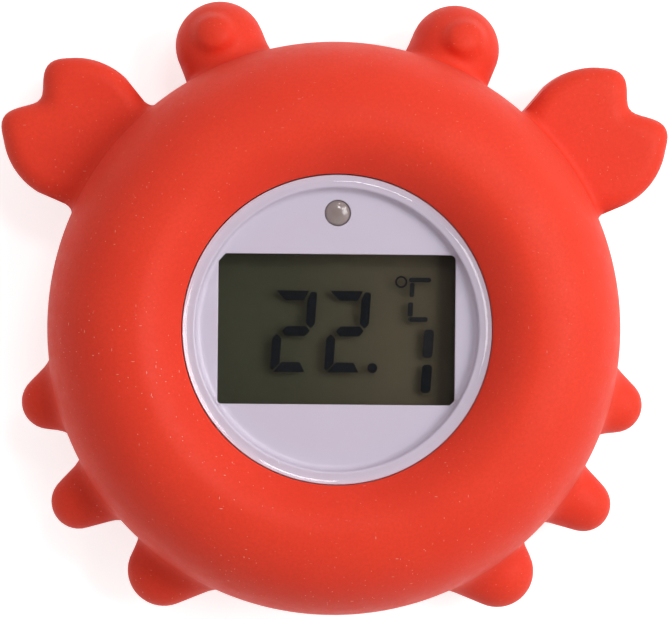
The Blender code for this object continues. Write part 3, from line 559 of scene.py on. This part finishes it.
def eye_field(x, y, z):
    """Ball on a stalk of the same radius that runs in to the ring."""
    u = x * math.cos(EYE_ANGLE) + y * math.sin(EYE_ANGLE) - EYE_OUT
    v = -x * math.sin(EYE_ANGLE) + y * math.cos(EYE_ANGLE)
    ball = np.sqrt(np.maximum(u, 0) ** 2 + v * v + (z - LUMP_Z) ** 2) - EYE_R
    return np.maximum(ball, -ROOT - u)


def leg_field(x, y, z, leg):
    """Round cone: a ball at the tip whose flanks open towards the ring."""
    angle, out, radius, opening, tilt, flat = leg
    px = x - out * math.cos(angle)
    py = y + out * math.sin(angle)
    inward = math.pi - angle - tilt
    along = px * math.cos(inward) + py * math.sin(inward)
    across = -px * math.sin(inward) + py * math.cos(inward)
    side = np.hypot(across, (z - LUMP_Z) * flat)
    flank = side * math.cos(opening) - along * math.sin(opening) - radius
    tip = np.hypot(along, side) - radius
    cone = np.where(along * math.cos(opening) + side * math.sin(opening) < 0, tip, flank)
    return np.maximum(cone, along - LEG_ROOT)


def crab_field(x, y, z, side):
    """The crab's outside: below zero inside, about the distance to it near the surface."""
    value = ring_field(x, y, z)
    (cx, cy), (ex, ey), (lx, ly) = (SHIFTS[side][kind] for kind in ("claw", "eye", "leg"))
    value = blend(value, claw_field(x - cx, y - cy, z), LUMP_FILLET)
    value = blend(value, eye_field(x - ex, y - ey, z), LUMP_FILLET)
    for leg in LEGS:
        value = blend(value, leg_field(x - lx, y - ly, z, leg), LEG_FILLET)
    return value


def plan_columns(count, side):
    """Where each column of the skin starts and heads, for one half of the crab.

    The outline from above is found first. A column starts on the crest circle and heads for a
    point of the outline. Within a lump the starts follow the lump's own outline length, so
    that the columns fan out into it.
    """
    theta = np.radians(np.linspace(-90, 90, 2401))
    radius = np.linspace(60, 37, 461)
    t, r = np.meshgrid(theta, radius, indexing="ij")
    field = crab_field(r * np.cos(t), r * np.sin(t), np.full_like(t, LUMP_Z), side)
    first = np.argmax(field < 0, axis=1)
    reach = np.maximum(radius[first], RING_R)
    outline = np.stack([reach * np.cos(theta), reach * np.sin(theta)], axis=-1)
    step = np.hypot(*np.diff(outline, axis=0).T)
    length = np.concatenate([[0], np.cumsum(step)])
    start = theta.copy()
    outside = reach > RING_R + 0.05
    edges = np.flatnonzero(np.diff(outside.astype(int)))
    for a, b in zip(edges[::2], edges[1::2]):
        share = (length[a:b + 2] - length[a]) / (length[b + 1] - length[a])
        start[a:b + 2] = theta[a] + share * (theta[b + 1] - theta[a])
    weight = np.where(outside[1:], 1.0, 0.75) * step
    place = np.concatenate([[0], np.cumsum(weight)])
    even = np.linspace(0, place[-1], count)
    width = 9
    kernel = np.hanning(2 * width + 3)[1:-1]
    kernel /= kernel.sum()

    def smooth(values, odd):
        """Mean over near columns. Past its ends the row is mirrored, and turned over if odd."""
        before, after = values[width:0:-1], values[-2:-width - 2:-1]
        if odd:
            before, after = 2 * values[0] - before, 2 * values[-1] - after
        return np.convolve(np.concatenate([before, values, after]), kernel, mode="valid")

    x = smooth(np.interp(even, place, outline[:, 0]), True)
    y = smooth(np.interp(even, place, outline[:, 1]), False)
    a = smooth(np.interp(even, place, start), True)
    x[0] = x[-1] = 0
    a[0], a[-1] = -math.pi / 2, math.pi / 2
    core = np.stack([CREST_R * np.cos(a), CREST_R * np.sin(a)], axis=-1)
    core[0, 0] = core[-1, 0] = 0
    heading = np.stack([x, y], axis=-1) - core
    heading /= np.linalg.norm(heading, axis=1, keepdims=True)
    return core, heading


def outer_skin(core, heading, rows, side):
    """Points where rays from inside the ring leave the crab: P = C + s (cos p h + sin p z).

    C lies on the crest circle at a height of 10 mm, h is the column's heading, p runs from
    straight up to straight down, and s is found by halving steps between the last try inside
    and the next one. The rows lie closest where the lumps meet the ring.
    """
    part = np.linspace(0, 1, rows)
    knots = np.radians([90, 52, 24, 4, -30, -60, -90])
    angle = np.interp(part, [0, 0.15, 0.28, 0.62, 0.84, 0.93, 1], knots)
    for _ in range(3):
        angle[1:-1] = (angle[:-2] + 2 * angle[1:-1] + angle[2:]) / 4
    cx, cy = core[:, 0][:, None, None], core[:, 1][:, None, None]
    hx, hy = heading[:, 0][:, None, None], heading[:, 1][:, None, None]
    cosine, sine = np.cos(angle)[None, :, None], np.sin(angle)[None, :, None]
    tries = np.linspace(5, 34, 117)[None, None, :]

    def value(s):
        return crab_field(cx + s * cosine * hx, cy + s * cosine * hy, CORE_Z + s * sine, side)

    inside = value(tries) < 0
    last = inside.shape[2] - 1 - np.argmax(inside[:, :, ::-1], axis=2)
    low = tries[0, 0, last][:, :, None]
    high = low + (tries[0, 0, 1] - tries[0, 0, 0])
    for _ in range(22):
        middle = (low + high) / 2
        is_in = value(middle) < 0
        low = np.where(is_in, middle, low)
        high = np.where(is_in, high, middle)
    s = (low + high)[:, :, 0] / 2
    cosine, sine = cosine[:, :, 0], sine[:, :, 0]
    x = cx[:, :, 0] + s * cosine * hx[:, :, 0]
    y = cy[:, :, 0] + s * cosine * hy[:, :, 0]
    return np.stack([x, y, CORE_Z + s * sine], axis=-1)


def inner_profile():
    """Section of the skin that faces inwards, from the flat underside up to the crest.

    From the foot to the crest it follows z = H - a (R - r)^1.8, with R the crest's radius.
    """
    groove_top, groove_low, groove_r = 13.92, 10.22, 23.1
    bend, mesh_step = 1.8, 1.6
    fall = (RING_H - FOOT_Z) / (CREST_R - FOOT_R) ** bend
    r = np.linspace(FOOT_R + 0.35, CREST_R - 0.35, 16)
    slope = np.column_stack([r, RING_H - fall * (CREST_R - r) ** bend])
    line = np.array(rounded([
        (CREST_R - 1.5, 0, 0), (LIP_R, 0, 0.4), (LIP_R, LIP_H, 0.15), (BORE_R, LIP_H, 0),
        (BORE_R, groove_low, 0), (groove_r, groove_low, 0), (groove_r, groove_top, 0),
        (BORE_R, groove_top, 0), (BORE_R, FOOT_Z - 2.4, 0.5), (FOOT_R, FOOT_Z - 1.6, 0.5),
        (FOOT_R, FOOT_Z, 0.22), (slope[0, 0], slope[0, 1], 0)]))
    side = np.diff(line, axis=0)
    parts = np.maximum(1, (np.hypot(side[:, 0], side[:, 1]) / mesh_step).astype(int))
    which = np.repeat(np.arange(len(parts)), parts)
    share = (np.arange(len(which)) - (np.cumsum(parts) - parts)[which]) / parts[which]
    return np.concatenate([line[which] + side[which] * share[:, None], slope])


def nub(points, side, across, up):
    """Raises the pupil: a low round nub on the eye, along the vertical.

    Its height falls from full to nothing between the flat top's radius and the foot's, as
    3 t^2 - 2 t^3, and a low dome, 1 - (d / R)^2, lies on top. Across and up shift its middle
    from the eye's.
    """
    x = side * (EYE_OUT * math.cos(EYE_ANGLE) + across)
    y = EYE_OUT * math.sin(EYE_ANGLE) + up
    d = np.hypot((points[..., 0] - x) / NUB_WIDER, points[..., 1] - y)
    t = np.clip((NUB_R - d) / (NUB_R - NUB_FLAT_R), 0, 1)
    dome = np.clip(1 - (d / NUB_DOME_R) ** 2, 0, 1)
    height = NUB_H * t * t * (3 - 2 * t) + NUB_DOME_H * dome
    top = points[..., 2] > LUMP_Z
    points[..., 2] += np.where(top, height, 0)


def crab_skin():
    """The crab's whole surface as one closed grid: columns round the ring, rows round its
    section. The left half is worked out as the right half is, and turned over.
    """
    halves = []
    inner = inner_profile()
    for side in (1, -1):
        core, heading = plan_columns(252, side)
        outer = outer_skin(core, heading, 128, side)
        angle = np.arctan2(core[:, 1], core[:, 0])
        ring = np.stack([inner[None, :, 0] * np.cos(angle)[:, None],
                         inner[None, :, 0] * np.sin(angle)[:, None],
                         np.broadcast_to(inner[None, :, 1], (len(angle), len(inner)))], axis=-1)
        ring[0, :, 0] = ring[-1, :, 0] = 0
        halves.append(np.concatenate([outer, ring], axis=1) * (side, 1, 1))
    whole = np.concatenate([halves[0], halves[1][-2:0:-1]], axis=0)
    nub(whole, -1, 0.9, 1.9)
    nub(whole, 1, 1.6, 1.5)
    smooth_piece("crab_skin", whole, closed_grid(whole), SILICONE, "crab_sleeve",
                 60)


crab_skin()


# The pod

def lens_cap():
    """Clear cap: flat top with a broadly rounded edge, and a flat underside."""
    low = LENS_TOP - LENS_T
    profile = rounded([(0, LENS_TOP, 0), (LENS_R, LENS_TOP, 1.1), (LENS_R, low, 0.12),
                       (0, low, 0)], 7)
    return turned("lens_cap", profile, CLEAR, "lens", 240)


def window_radius(theta):
    """Distance from the axis to the window's edge in each direction.

    The window is a rectangle whose corners are cut or rounded: the first four lines are its
    sides, the next two its cut corners, and the arcs its round ones.
    """
    c, s = np.cos(theta), np.sin(theta)
    w, h = WINDOW_HALF_W, WINDOW_HALF_H
    limits = [(1, 0, w), (-1, 0, w), (0, 1, h), (0, -1, h),
              (-WINDOW_CUT_H, WINDOW_CUT_W, (w - WINDOW_CUT_W) * WINDOW_CUT_H + h * WINDOW_CUT_W),
              (1, -1, w + h - WINDOW_SMALL_CUT)]
    radius = np.full_like(theta, 99.0)
    for a, b, limit in limits:
        facing = a * c + b * s
        radius = np.where(facing > 1e-6, np.minimum(radius, limit / np.maximum(facing, 1e-6)),
                          radius)
    for sx, sy, r in ((1, 1, WINDOW_ROUND), (-1, -1, WINDOW_SMALL_ROUND)):
        cx, cy = sx * (w - r), sy * (h - r)
        along = cx * c + cy * s
        gap = np.maximum(r * r - (cx * cx + cy * cy - along ** 2), 0)
        hit = along + np.sqrt(gap)
        in_corner = (hit * c * sx > w - r) & (hit * s * sy > h - r) & (gap > 0)
        radius = np.where(in_corner, np.minimum(radius, hit), radius)
    return radius


def pod_front():
    """White front shell: one closed grid from the window's edge out to the flange and back.

    Each column is a section at one angle. The window's edge changes with the angle; all else
    is turned. Columns stand close together at the window's corners.
    """
    w, h = WINDOW_HALF_W, WINDOW_HALF_H
    corners = np.array([
        (w, h - WINDOW_ROUND), (w - WINDOW_ROUND, h), (-w + WINDOW_CUT_W, h),
        (-w, h - WINDOW_CUT_H), (-w, -h + WINDOW_SMALL_ROUND), (-w + WINDOW_SMALL_ROUND, -h),
        (w - WINDOW_SMALL_CUT, -h), (w, -h + WINDOW_SMALL_CUT)])
    near = np.add.outer(np.arctan2(corners[:, 1], corners[:, 0]),
                        np.radians([-1.2, -0.6, -0.3, 0, 0.3, 0.6, 1.2])).ravel()
    theta = np.unique(np.round(np.concatenate([np.radians(np.arange(-180, 180, 1.5)), near]), 5))
    window = window_radius(theta)
    low = SEAM_Z + SEAM_HALF
    edge = ((0.0, -0.6), (0.0, -0.16), (0.02, -0.08), (0.08, -0.02), (0.16, 0.0))
    turned_rows = rounded([
        (FACE_R, FACE_TOP, 0), (RIM_IN_R, FACE_TOP, 0.8), (RIM_IN_R, RIM_TOP, 0.42),
        (LENS_R, RIM_TOP, 0.2), (LENS_R, FLANGE_TOP, 0), (FLANGE_R, FLANGE_TOP, 0.2),
        (FLANGE_R, low, 0.2), (GROOVE_OUT_R, low, 0), (GROOVE_OUT_R, low + GROOVE_DEPTH, 0),
        (GROOVE_IN_R, low + GROOVE_DEPTH, 0), (GROOVE_IN_R, low, 0), (WALL_IN_R, low, 0),
        (WALL_IN_R, FACE_BOTTOM, 0.3), (FACE_R, FACE_BOTTOM, 0)])
    r = np.array([window + out for out, _ in edge] + [np.full_like(theta, r) for r, _ in turned_rows]
                 + [window])
    z = np.array([FACE_TOP + up for _, up in edge] + [z for _, z in turned_rows] + [FACE_BOTTOM])
    # In the window's corners the face is narrower than its rounding: rows step out from there
    apart = 0.2 + 0.02 * np.minimum(np.arange(len(turned_rows)), 5)
    inner = slice(len(edge), len(edge) + len(turned_rows))
    r[inner] = np.maximum(r[inner], window + apart[:, None])
    points = np.stack([r * np.cos(theta), r * np.sin(theta), np.broadcast_to(z[:, None], r.shape)],
                      axis=-1)
    shell = smooth_piece("pod_front", points, closed_grid(points), WHITE, "front_shell",
                         30)
    cut_with(shell, [round_cutter("lamp_hole", [
        (LAMP_HOLE_R, FACE_BOTTOM - 2), (LAMP_HOLE_R, FACE_TOP - 0.06),
        (LAMP_HOLE_R + 0.06, FACE_TOP), (LAMP_HOLE_R + 0.08, FACE_TOP + 2)], (0, LAMP_Y), 64)])


def lamp():
    """Lamp: (r, z) = (R cos a, top - H (1 - sin a)) for its dome, on a flange below."""
    top = FACE_TOP + 0.4
    low = top - LAMP_LENGTH
    a = np.radians(np.linspace(90, 0, 14))
    dome = np.column_stack([LAMP_R * np.cos(a), top - LAMP_DOME_H * (1 - np.sin(a))])
    profile = dome.tolist() + [(LAMP_R, low + LAMP_FLANGE_H), (LAMP_HOLE_R, low + LAMP_FLANGE_H),
                               (LAMP_HOLE_R, low), (0, low)]
    turned("lamp_dome", profile, LAMP, "status_lamp", 48, (0, LAMP_Y))


lens_cap()
pod_front()
lamp()


# The display

UNIT = 0.1352            # grid of the display's characters
SLANT = 0.0612
DIGIT_H = 80.0
DIGIT_TOP = 37.5
DIGITS_LEFT = (-64.4, -11.4)
# Strokes of a 2 in grid units, x from its left side and y down from its top: the top one, the
# upper right, the middle, the lower left and the bottom one
STROKES = (
    ((1, 0), (33, 0), (28.3, 9.6), (10.5, 9.6)),
    ((35, 1.2), (39.5, 1.2), (41, 3), (41, 32.5), (36.8, 37), (32, 32), (32, 8.5)),
    ((9, 39.6), (13.5, 34.8), (32.5, 34.8), (36.4, 39.6), (32, 44.6), (13, 44.6)),
    ((0, 47), (4.2, 42.5), (9, 47), (9, 71.5), (2.2, 78), (0, 76)),
    ((3.5, 80), (34, 80), (28.5, 70.2), (10.8, 70.2)),
)
DECIMAL_POINT = (36.2, -37.9, 5.0)       # x, y and radius
DEGREE = (63.8, 46.8, 4.2, 6.0)          # x, y, inner and outer radius
# Bars: left, bottom, right, top, cut of the corners, lean
ONE_LOWER = (83.8, -62.0, 93.6, -34.2, 2.4, 0.05)
ONE_UPPER = (85.3, -27.5, 95.2, 0.4, 2.4, 0.05)
LETTER_C = (
    (71.2, 46.6, 93.2, 51.2, 1.4, 0.0), (72.0, 32.2, 76.6, 46.0, 1.0, 0.03),
    (70.2, 13.0, 75.4, 26.8, 1.0, 0.03), (71.2, 7.8, 90.2, 12.5, 1.4, 0.0),
)
INK_LOW, INK_HIGH = 18.70, 18.78
# Sheets: piece, node, slot, finish, width, length, cut of the corners, bottom, top
SHEETS = (
    ("front_pane", "display_front_glass", "display_glass", PANE, 32.2, 24.0, 1.5, 18.82, 19.82),
    ("rear_pane", "display_rear_glass", "display_glass", INNER_PANE, 32.2, 20.6, 0.2, 17.67,
     18.67),
    ("backing", "display_reflector", "display_reflector", BACKING, 32.0, 20.4, 0.1, 17.27, 17.52),
)


def digit_two(left):
    """Outlines of a 2 whose x grows with the height over its foot."""
    strokes = [np.array(stroke, float).T for stroke in STROKES]
    return [np.column_stack([left + x + (DIGIT_H - y) * SLANT, DIGIT_TOP - y]) for x, y in strokes]


def bar(x0, y0, x1, y1, cut, lean):
    """A stroke with cut corners between two heights. Its top is shifted by the lean."""
    shift = (y1 - y0) * lean
    return [(x0 + cut, y0), (x1 - cut, y0), (x1, y0 + cut), (x1 + shift, y1 - cut),
            (x1 + shift - cut, y1), (x0 + shift + cut, y1), (x0 + shift, y1 - cut),
            (x0, y0 + cut)]


def anticlockwise(outline):
    """The outline in millimetres, turned over where its area comes out below zero."""
    points = np.array(outline, float) * UNIT
    after = np.roll(points, -1, axis=0)
    area = np.sum(points[:, 0] * after[:, 1] - after[:, 0] * points[:, 1])
    return points if area > 0 else points[::-1]


def characters():
    """22.1 and a degree sign with C, as thin plates between the two sheets of glass.

    The C and the upper stroke of the 1 are weaker than the rest. The point is a circle of 16
    corners, and the degree sign a ring of 28 plates with four corners each.
    """
    x, y, radius = DECIMAL_POINT
    turn = np.linspace(0, 2 * math.pi, 16, endpoint=False)
    point = np.column_stack([x + radius * np.cos(turn), y + radius * np.sin(turn)])
    x, y, inner, outer = DEGREE
    turn = np.linspace(0, 2 * math.pi, 29)
    angle = np.stack([turn[:-1], turn[:-1], turn[1:], turn[1:]], axis=1)
    radii = np.array([inner, outer, outer, inner])
    ring = np.stack([x + radii * np.cos(angle), y + radii * np.sin(angle)], axis=-1)
    strong = [shape for left in DIGITS_LEFT for shape in digit_two(left)]
    strong += [point, bar(*ONE_LOWER)] + list(ring)
    weak = [bar(*stroke) for stroke in LETTER_C] + [bar(*ONE_UPPER)]
    for name, shapes, ink in (("display_characters", strong, INK),
                              ("display_weak_characters", weak, PALE_INK)):
        plates(name, [anticlockwise(shape) for shape in shapes], INK_LOW, INK_HIGH, ink)


def sheet_outline(width, length, cut):
    """Rectangle with cut corners, anticlockwise."""
    x, y = width / 2, length / 2
    return [(x - cut, -y), (x, -y + cut), (x, y - cut), (x - cut, y), (-x + cut, y),
            (-x, y - cut), (-x, -y + cut), (-x + cut, -y)]


for piece, node_name, slot_name, finish, width, length, cut, low, high in SHEETS:
    plates(piece, [sheet_outline(width, length, cut)], low, high, finish, node_name)
characters()


# The back

def on_circle(radius, degrees):
    angle = math.radians(degrees)
    return radius * math.cos(angle), radius * math.sin(angle)


def back_shell():
    """White rear shell, turned, with sunk holes for the screws, pins and sensor."""
    top = SEAM_Z - SEAM_HALF
    wall, wall_in, floor_top, step = 21.0, 19.4, 4.1, 1.8
    well, well_in, well_top, well_roof, seat = 11.5, 10.3, 7.7, 6.5, 2.6
    profile = rounded([
        (0, well_top, 0), (well, well_top, 0.3), (well, floor_top, 0.3),
        (wall_in, floor_top, 0.3), (wall_in, top, 0), (GROOVE_IN_R, top, 0),
        (GROOVE_IN_R, top - GROOVE_DEPTH, 0), (GROOVE_OUT_R, top - GROOVE_DEPTH, 0),
        (GROOVE_OUT_R, top, 0), (FLANGE_R, top, 0.2), (FLANGE_R, top - FLANGE_T, 0.2),
        (wall, top - FLANGE_T, 0), (wall, step, 0.2), (BACK_R, step, 0), (BACK_R, 0, 0.35),
        (COVER_SEAT_R, 0, 0.2), (COVER_SEAT_R, seat, 0), (well_in, seat, 0),
        (well_in, well_roof, 0), (0, well_roof, 0)])
    shell = turned("back_shell", profile, WHITE, "rear_shell")
    holes = []
    for k, degrees in enumerate(POD_SCREW_ANGLES):
        holes.append(round_cutter(f"deep_hole_{k}", [(SUNK_R, BELOW), (SUNK_R, 3.9)],
                                  on_circle(POD_SCREW_AT, degrees)))
    for side in (-1, 1):
        holes.append(round_cutter("pin_hole", [(SUNK_R, BELOW), (SUNK_R, 1.4)],
                                  (side * PIN_AT, 0)))
    holes.append(round_cutter("probe_hole", [(PROBE_HOLE_R, BELOW), (PROBE_HOLE_R, 5.0)],
                              (0, -PROBE_AT)))
    for k, degrees in enumerate(COVER_SCREW_ANGLES):
        holes.append(round_cutter(f"cover_hole_{k}", [(COVER_SCREW_R, 2.0), (COVER_SCREW_R, 6.6)],
                                  on_circle(COVER_SCREW_AT, degrees)))
    cut_with(shell, holes)


def back_cover():
    """Round battery cover, flush with the back, with three sunk holes."""
    profile = rounded([(0, COVER_T, 0), (COVER_R, COVER_T, 0.1), (COVER_R, 0, 0.3), (0, 0, 0)])
    cover = turned("back_cover", profile, WHITE, "battery_cover")
    sunk = [(SUNK_R + 0.1, BELOW), (SUNK_R, 0.05), (SUNK_R, 1.2), (COVER_SCREW_R, 1.2),
            (COVER_SCREW_R, 3.0)]
    cut_with(cover, [round_cutter(f"sunk_{k}", sunk, on_circle(COVER_SCREW_AT, degrees))
                     for k, degrees in enumerate(COVER_SCREW_ANGLES)])


def contact_pins():
    """Two steel water contacts and the sensor's cap in the back."""
    pin = rounded([(0, PIN_TOP, 0), (0.8, PIN_TOP, 0.1), (0.8, 1.1, 0), (1.45, 1.1, 0.1),
                   (1.45, 0.2, 0.35), (0, 0.2, 0)])
    for side, word in ((-1, "left"), (1, "right")):
        turned(f"contact_{word}", pin, STEEL, f"water_contact_{word}", 48,
               (side * PIN_AT, 0))
    cap = rounded([(0, 0.65, 0), (0.95, 0.65, 0.2), (0.95, 4.8, 0), (1.9, 4.8, 0), (1.9, 4.4, 0),
                   (1.3, 4.4, 0), (1.3, 0.3, 0.35), (0, 0.3, 0)])
    turned("sensor_cap", cap, STEEL, "temperature_cap", 48, (0, -PROBE_AT))


back_shell()
back_cover()
contact_pins()

# Pieces that stay as the solids are, each with the finish of its real substance
FINISHES = (
    (SEAL, ("shell_seal", "cover_gasket")),
    (HOLDER, ("display_holder",)),
    (STRIP, ("connector_strip_upper", "connector_strip_lower")),
    (BOARD, ("circuit_board",)),
    (EPOXY, ("chip_blob", "thermistor_bead")),
    (CERAMIC, ("resistor_1", "resistor_2", "resistor_3", "capacitor_1", "capacitor_2")),
    (NICKEL, ("lamp_leg_1", "lamp_leg_2", "thermistor_wire_1", "thermistor_wire_2",
              "battery_clip", "battery_leaf")),
    (STEEL, ("crystal_can", "coin_cell", "cover_screw_1", "cover_screw_2", "cover_screw_3",
             "pod_screw_1", "pod_screw_2", "pod_screw_3", "pod_screw_4")),
)
for finish, node_names in FINISHES:
    for node_name in node_names:
        node_mesh = frame["nodes"][node_name].data
        node_mesh.materials.clear()
        node_mesh.materials.append(finish)


# Floor, light and camera

def seen_directly(tree):
    """1 where the camera sees something itself, in a reflection or through glass."""
    path = add_node(tree, "LightPath")
    mirrored = add_node(tree, "Math", {0: path.outputs["Is Glossy Ray"],
                        1: path.outputs["Is Transmission Ray"]}, operation="MAXIMUM")
    return add_node(tree, "Math", {0: path.outputs["Is Camera Ray"], 1: mirrored},
                    operation="MAXIMUM")


def floor():
    """White paper sweep under the object. What the camera sees of it is lifted to white."""
    material, tree = new_material("white_floor")
    diffuse = add_node(tree, "BsdfDiffuse", {"Color": (0.80, 0.80, 0.80, 1)})
    lift = add_node(tree, "Math", {0: seen_directly(tree), 1: 0.68}, operation="MULTIPLY")
    glow = add_node(tree, "Emission", {"Color": (1, 1, 1, 1), "Strength": lift})
    both = add_node(tree, "AddShader", {0: diffuse, 1: glow})
    add_node(tree, "OutputMaterial", {"Surface": both})
    far, z = 6000.0, -0.2
    corners = [(-far, -far, z), (far, -far, z), (far, far, z), (-far, far, z)]
    new_object("floor", corners, [(0, 1, 2, 3)], material)


def softbox(name, azimuth, elevation, distance, width, length, power):
    """Lamp that points at the thermometer. Its distance and size are in metres."""
    data = bpy.data.lights.new(name, "AREA")
    data.shape = "RECTANGLE"
    data.size = width
    data.size_y = length
    data.energy = power
    obj = bpy.data.objects.new(name, data)
    a, e = math.radians(azimuth), math.radians(elevation)
    place = Vector((math.cos(e) * math.cos(a), math.cos(e) * math.sin(a), math.sin(e))) * distance
    obj.location = place
    obj.rotation_euler = (-place).to_track_quat("-Z", "Y").to_euler()
    bpy.context.scene.collection.objects.link(obj)


def world():
    """Even pale surroundings with a dark ceiling. Seen directly they are plain white."""
    scene_world = bpy.data.worlds.new("studio")
    bpy.context.scene.world = scene_world
    scene_world.use_nodes = True
    tree = scene_world.node_tree
    tree.nodes.clear()
    place = add_node(tree, "TexCoord")
    height = add_node(tree, "SeparateXYZ", {"Vector": place.outputs["Generated"]}).outputs["Z"]
    around = add_node(tree, "MapRange", {"Value": height, "From Min": 0.80, "From Max": 0.95,
                      "To Min": 0.56, "To Max": 0.04}, interpolation_type="SMOOTHSTEP")
    low = add_node(tree, "Math", {0: height, 1: 0.5}, operation="LESS_THAN")
    white = add_node(tree, "Math", {0: seen_directly(tree), 1: low}, operation="MULTIPLY")
    strength = add_node(tree, "Math", {0: around, 1: white}, operation="MAXIMUM")
    background = add_node(tree, "Background", {"Color": (1, 1, 1, 1), "Strength": strength})
    add_node(tree, "OutputWorld", {"Surface": background})


def camera():
    """Long lens from almost straight above, as in the photo."""
    distance, frame_width, sensor = 900.0, 90.81, 36.0
    lean_left, lean_up, roll = (math.radians(d) for d in (2.5, 0.8, 0.55))
    data = bpy.data.cameras.new("camera")
    data.sensor_width = sensor
    data.lens = sensor * distance / frame_width
    data.clip_start = 0.01
    data.clip_end = 20.0
    back = Vector((-math.tan(lean_left), math.tan(lean_up), 1.0)).normalized()
    up = Vector((-math.sin(roll), math.cos(roll), 0))
    right = up.cross(back).normalized()
    up = back.cross(right).normalized()
    target = Vector((0, 0, RING_H / 2)) + right * 0.19 + up * 2.56
    obj = bpy.data.objects.new("camera", data)
    turn = Matrix((right, up, back)).transposed().to_4x4()
    obj.matrix_world = Matrix.Translation((target + back * distance) * MM) @ turn
    bpy.context.scene.collection.objects.link(obj)
    bpy.context.scene.camera = obj


floor()
softbox("key", 12, 48, 0.75, 0.42, 0.42, 3.5)
softbox("glint", 70, 62, 0.80, 0.20, 0.12, 0.9)
world()
camera()
bpy.context.scene.view_settings.view_transform = "Standard"
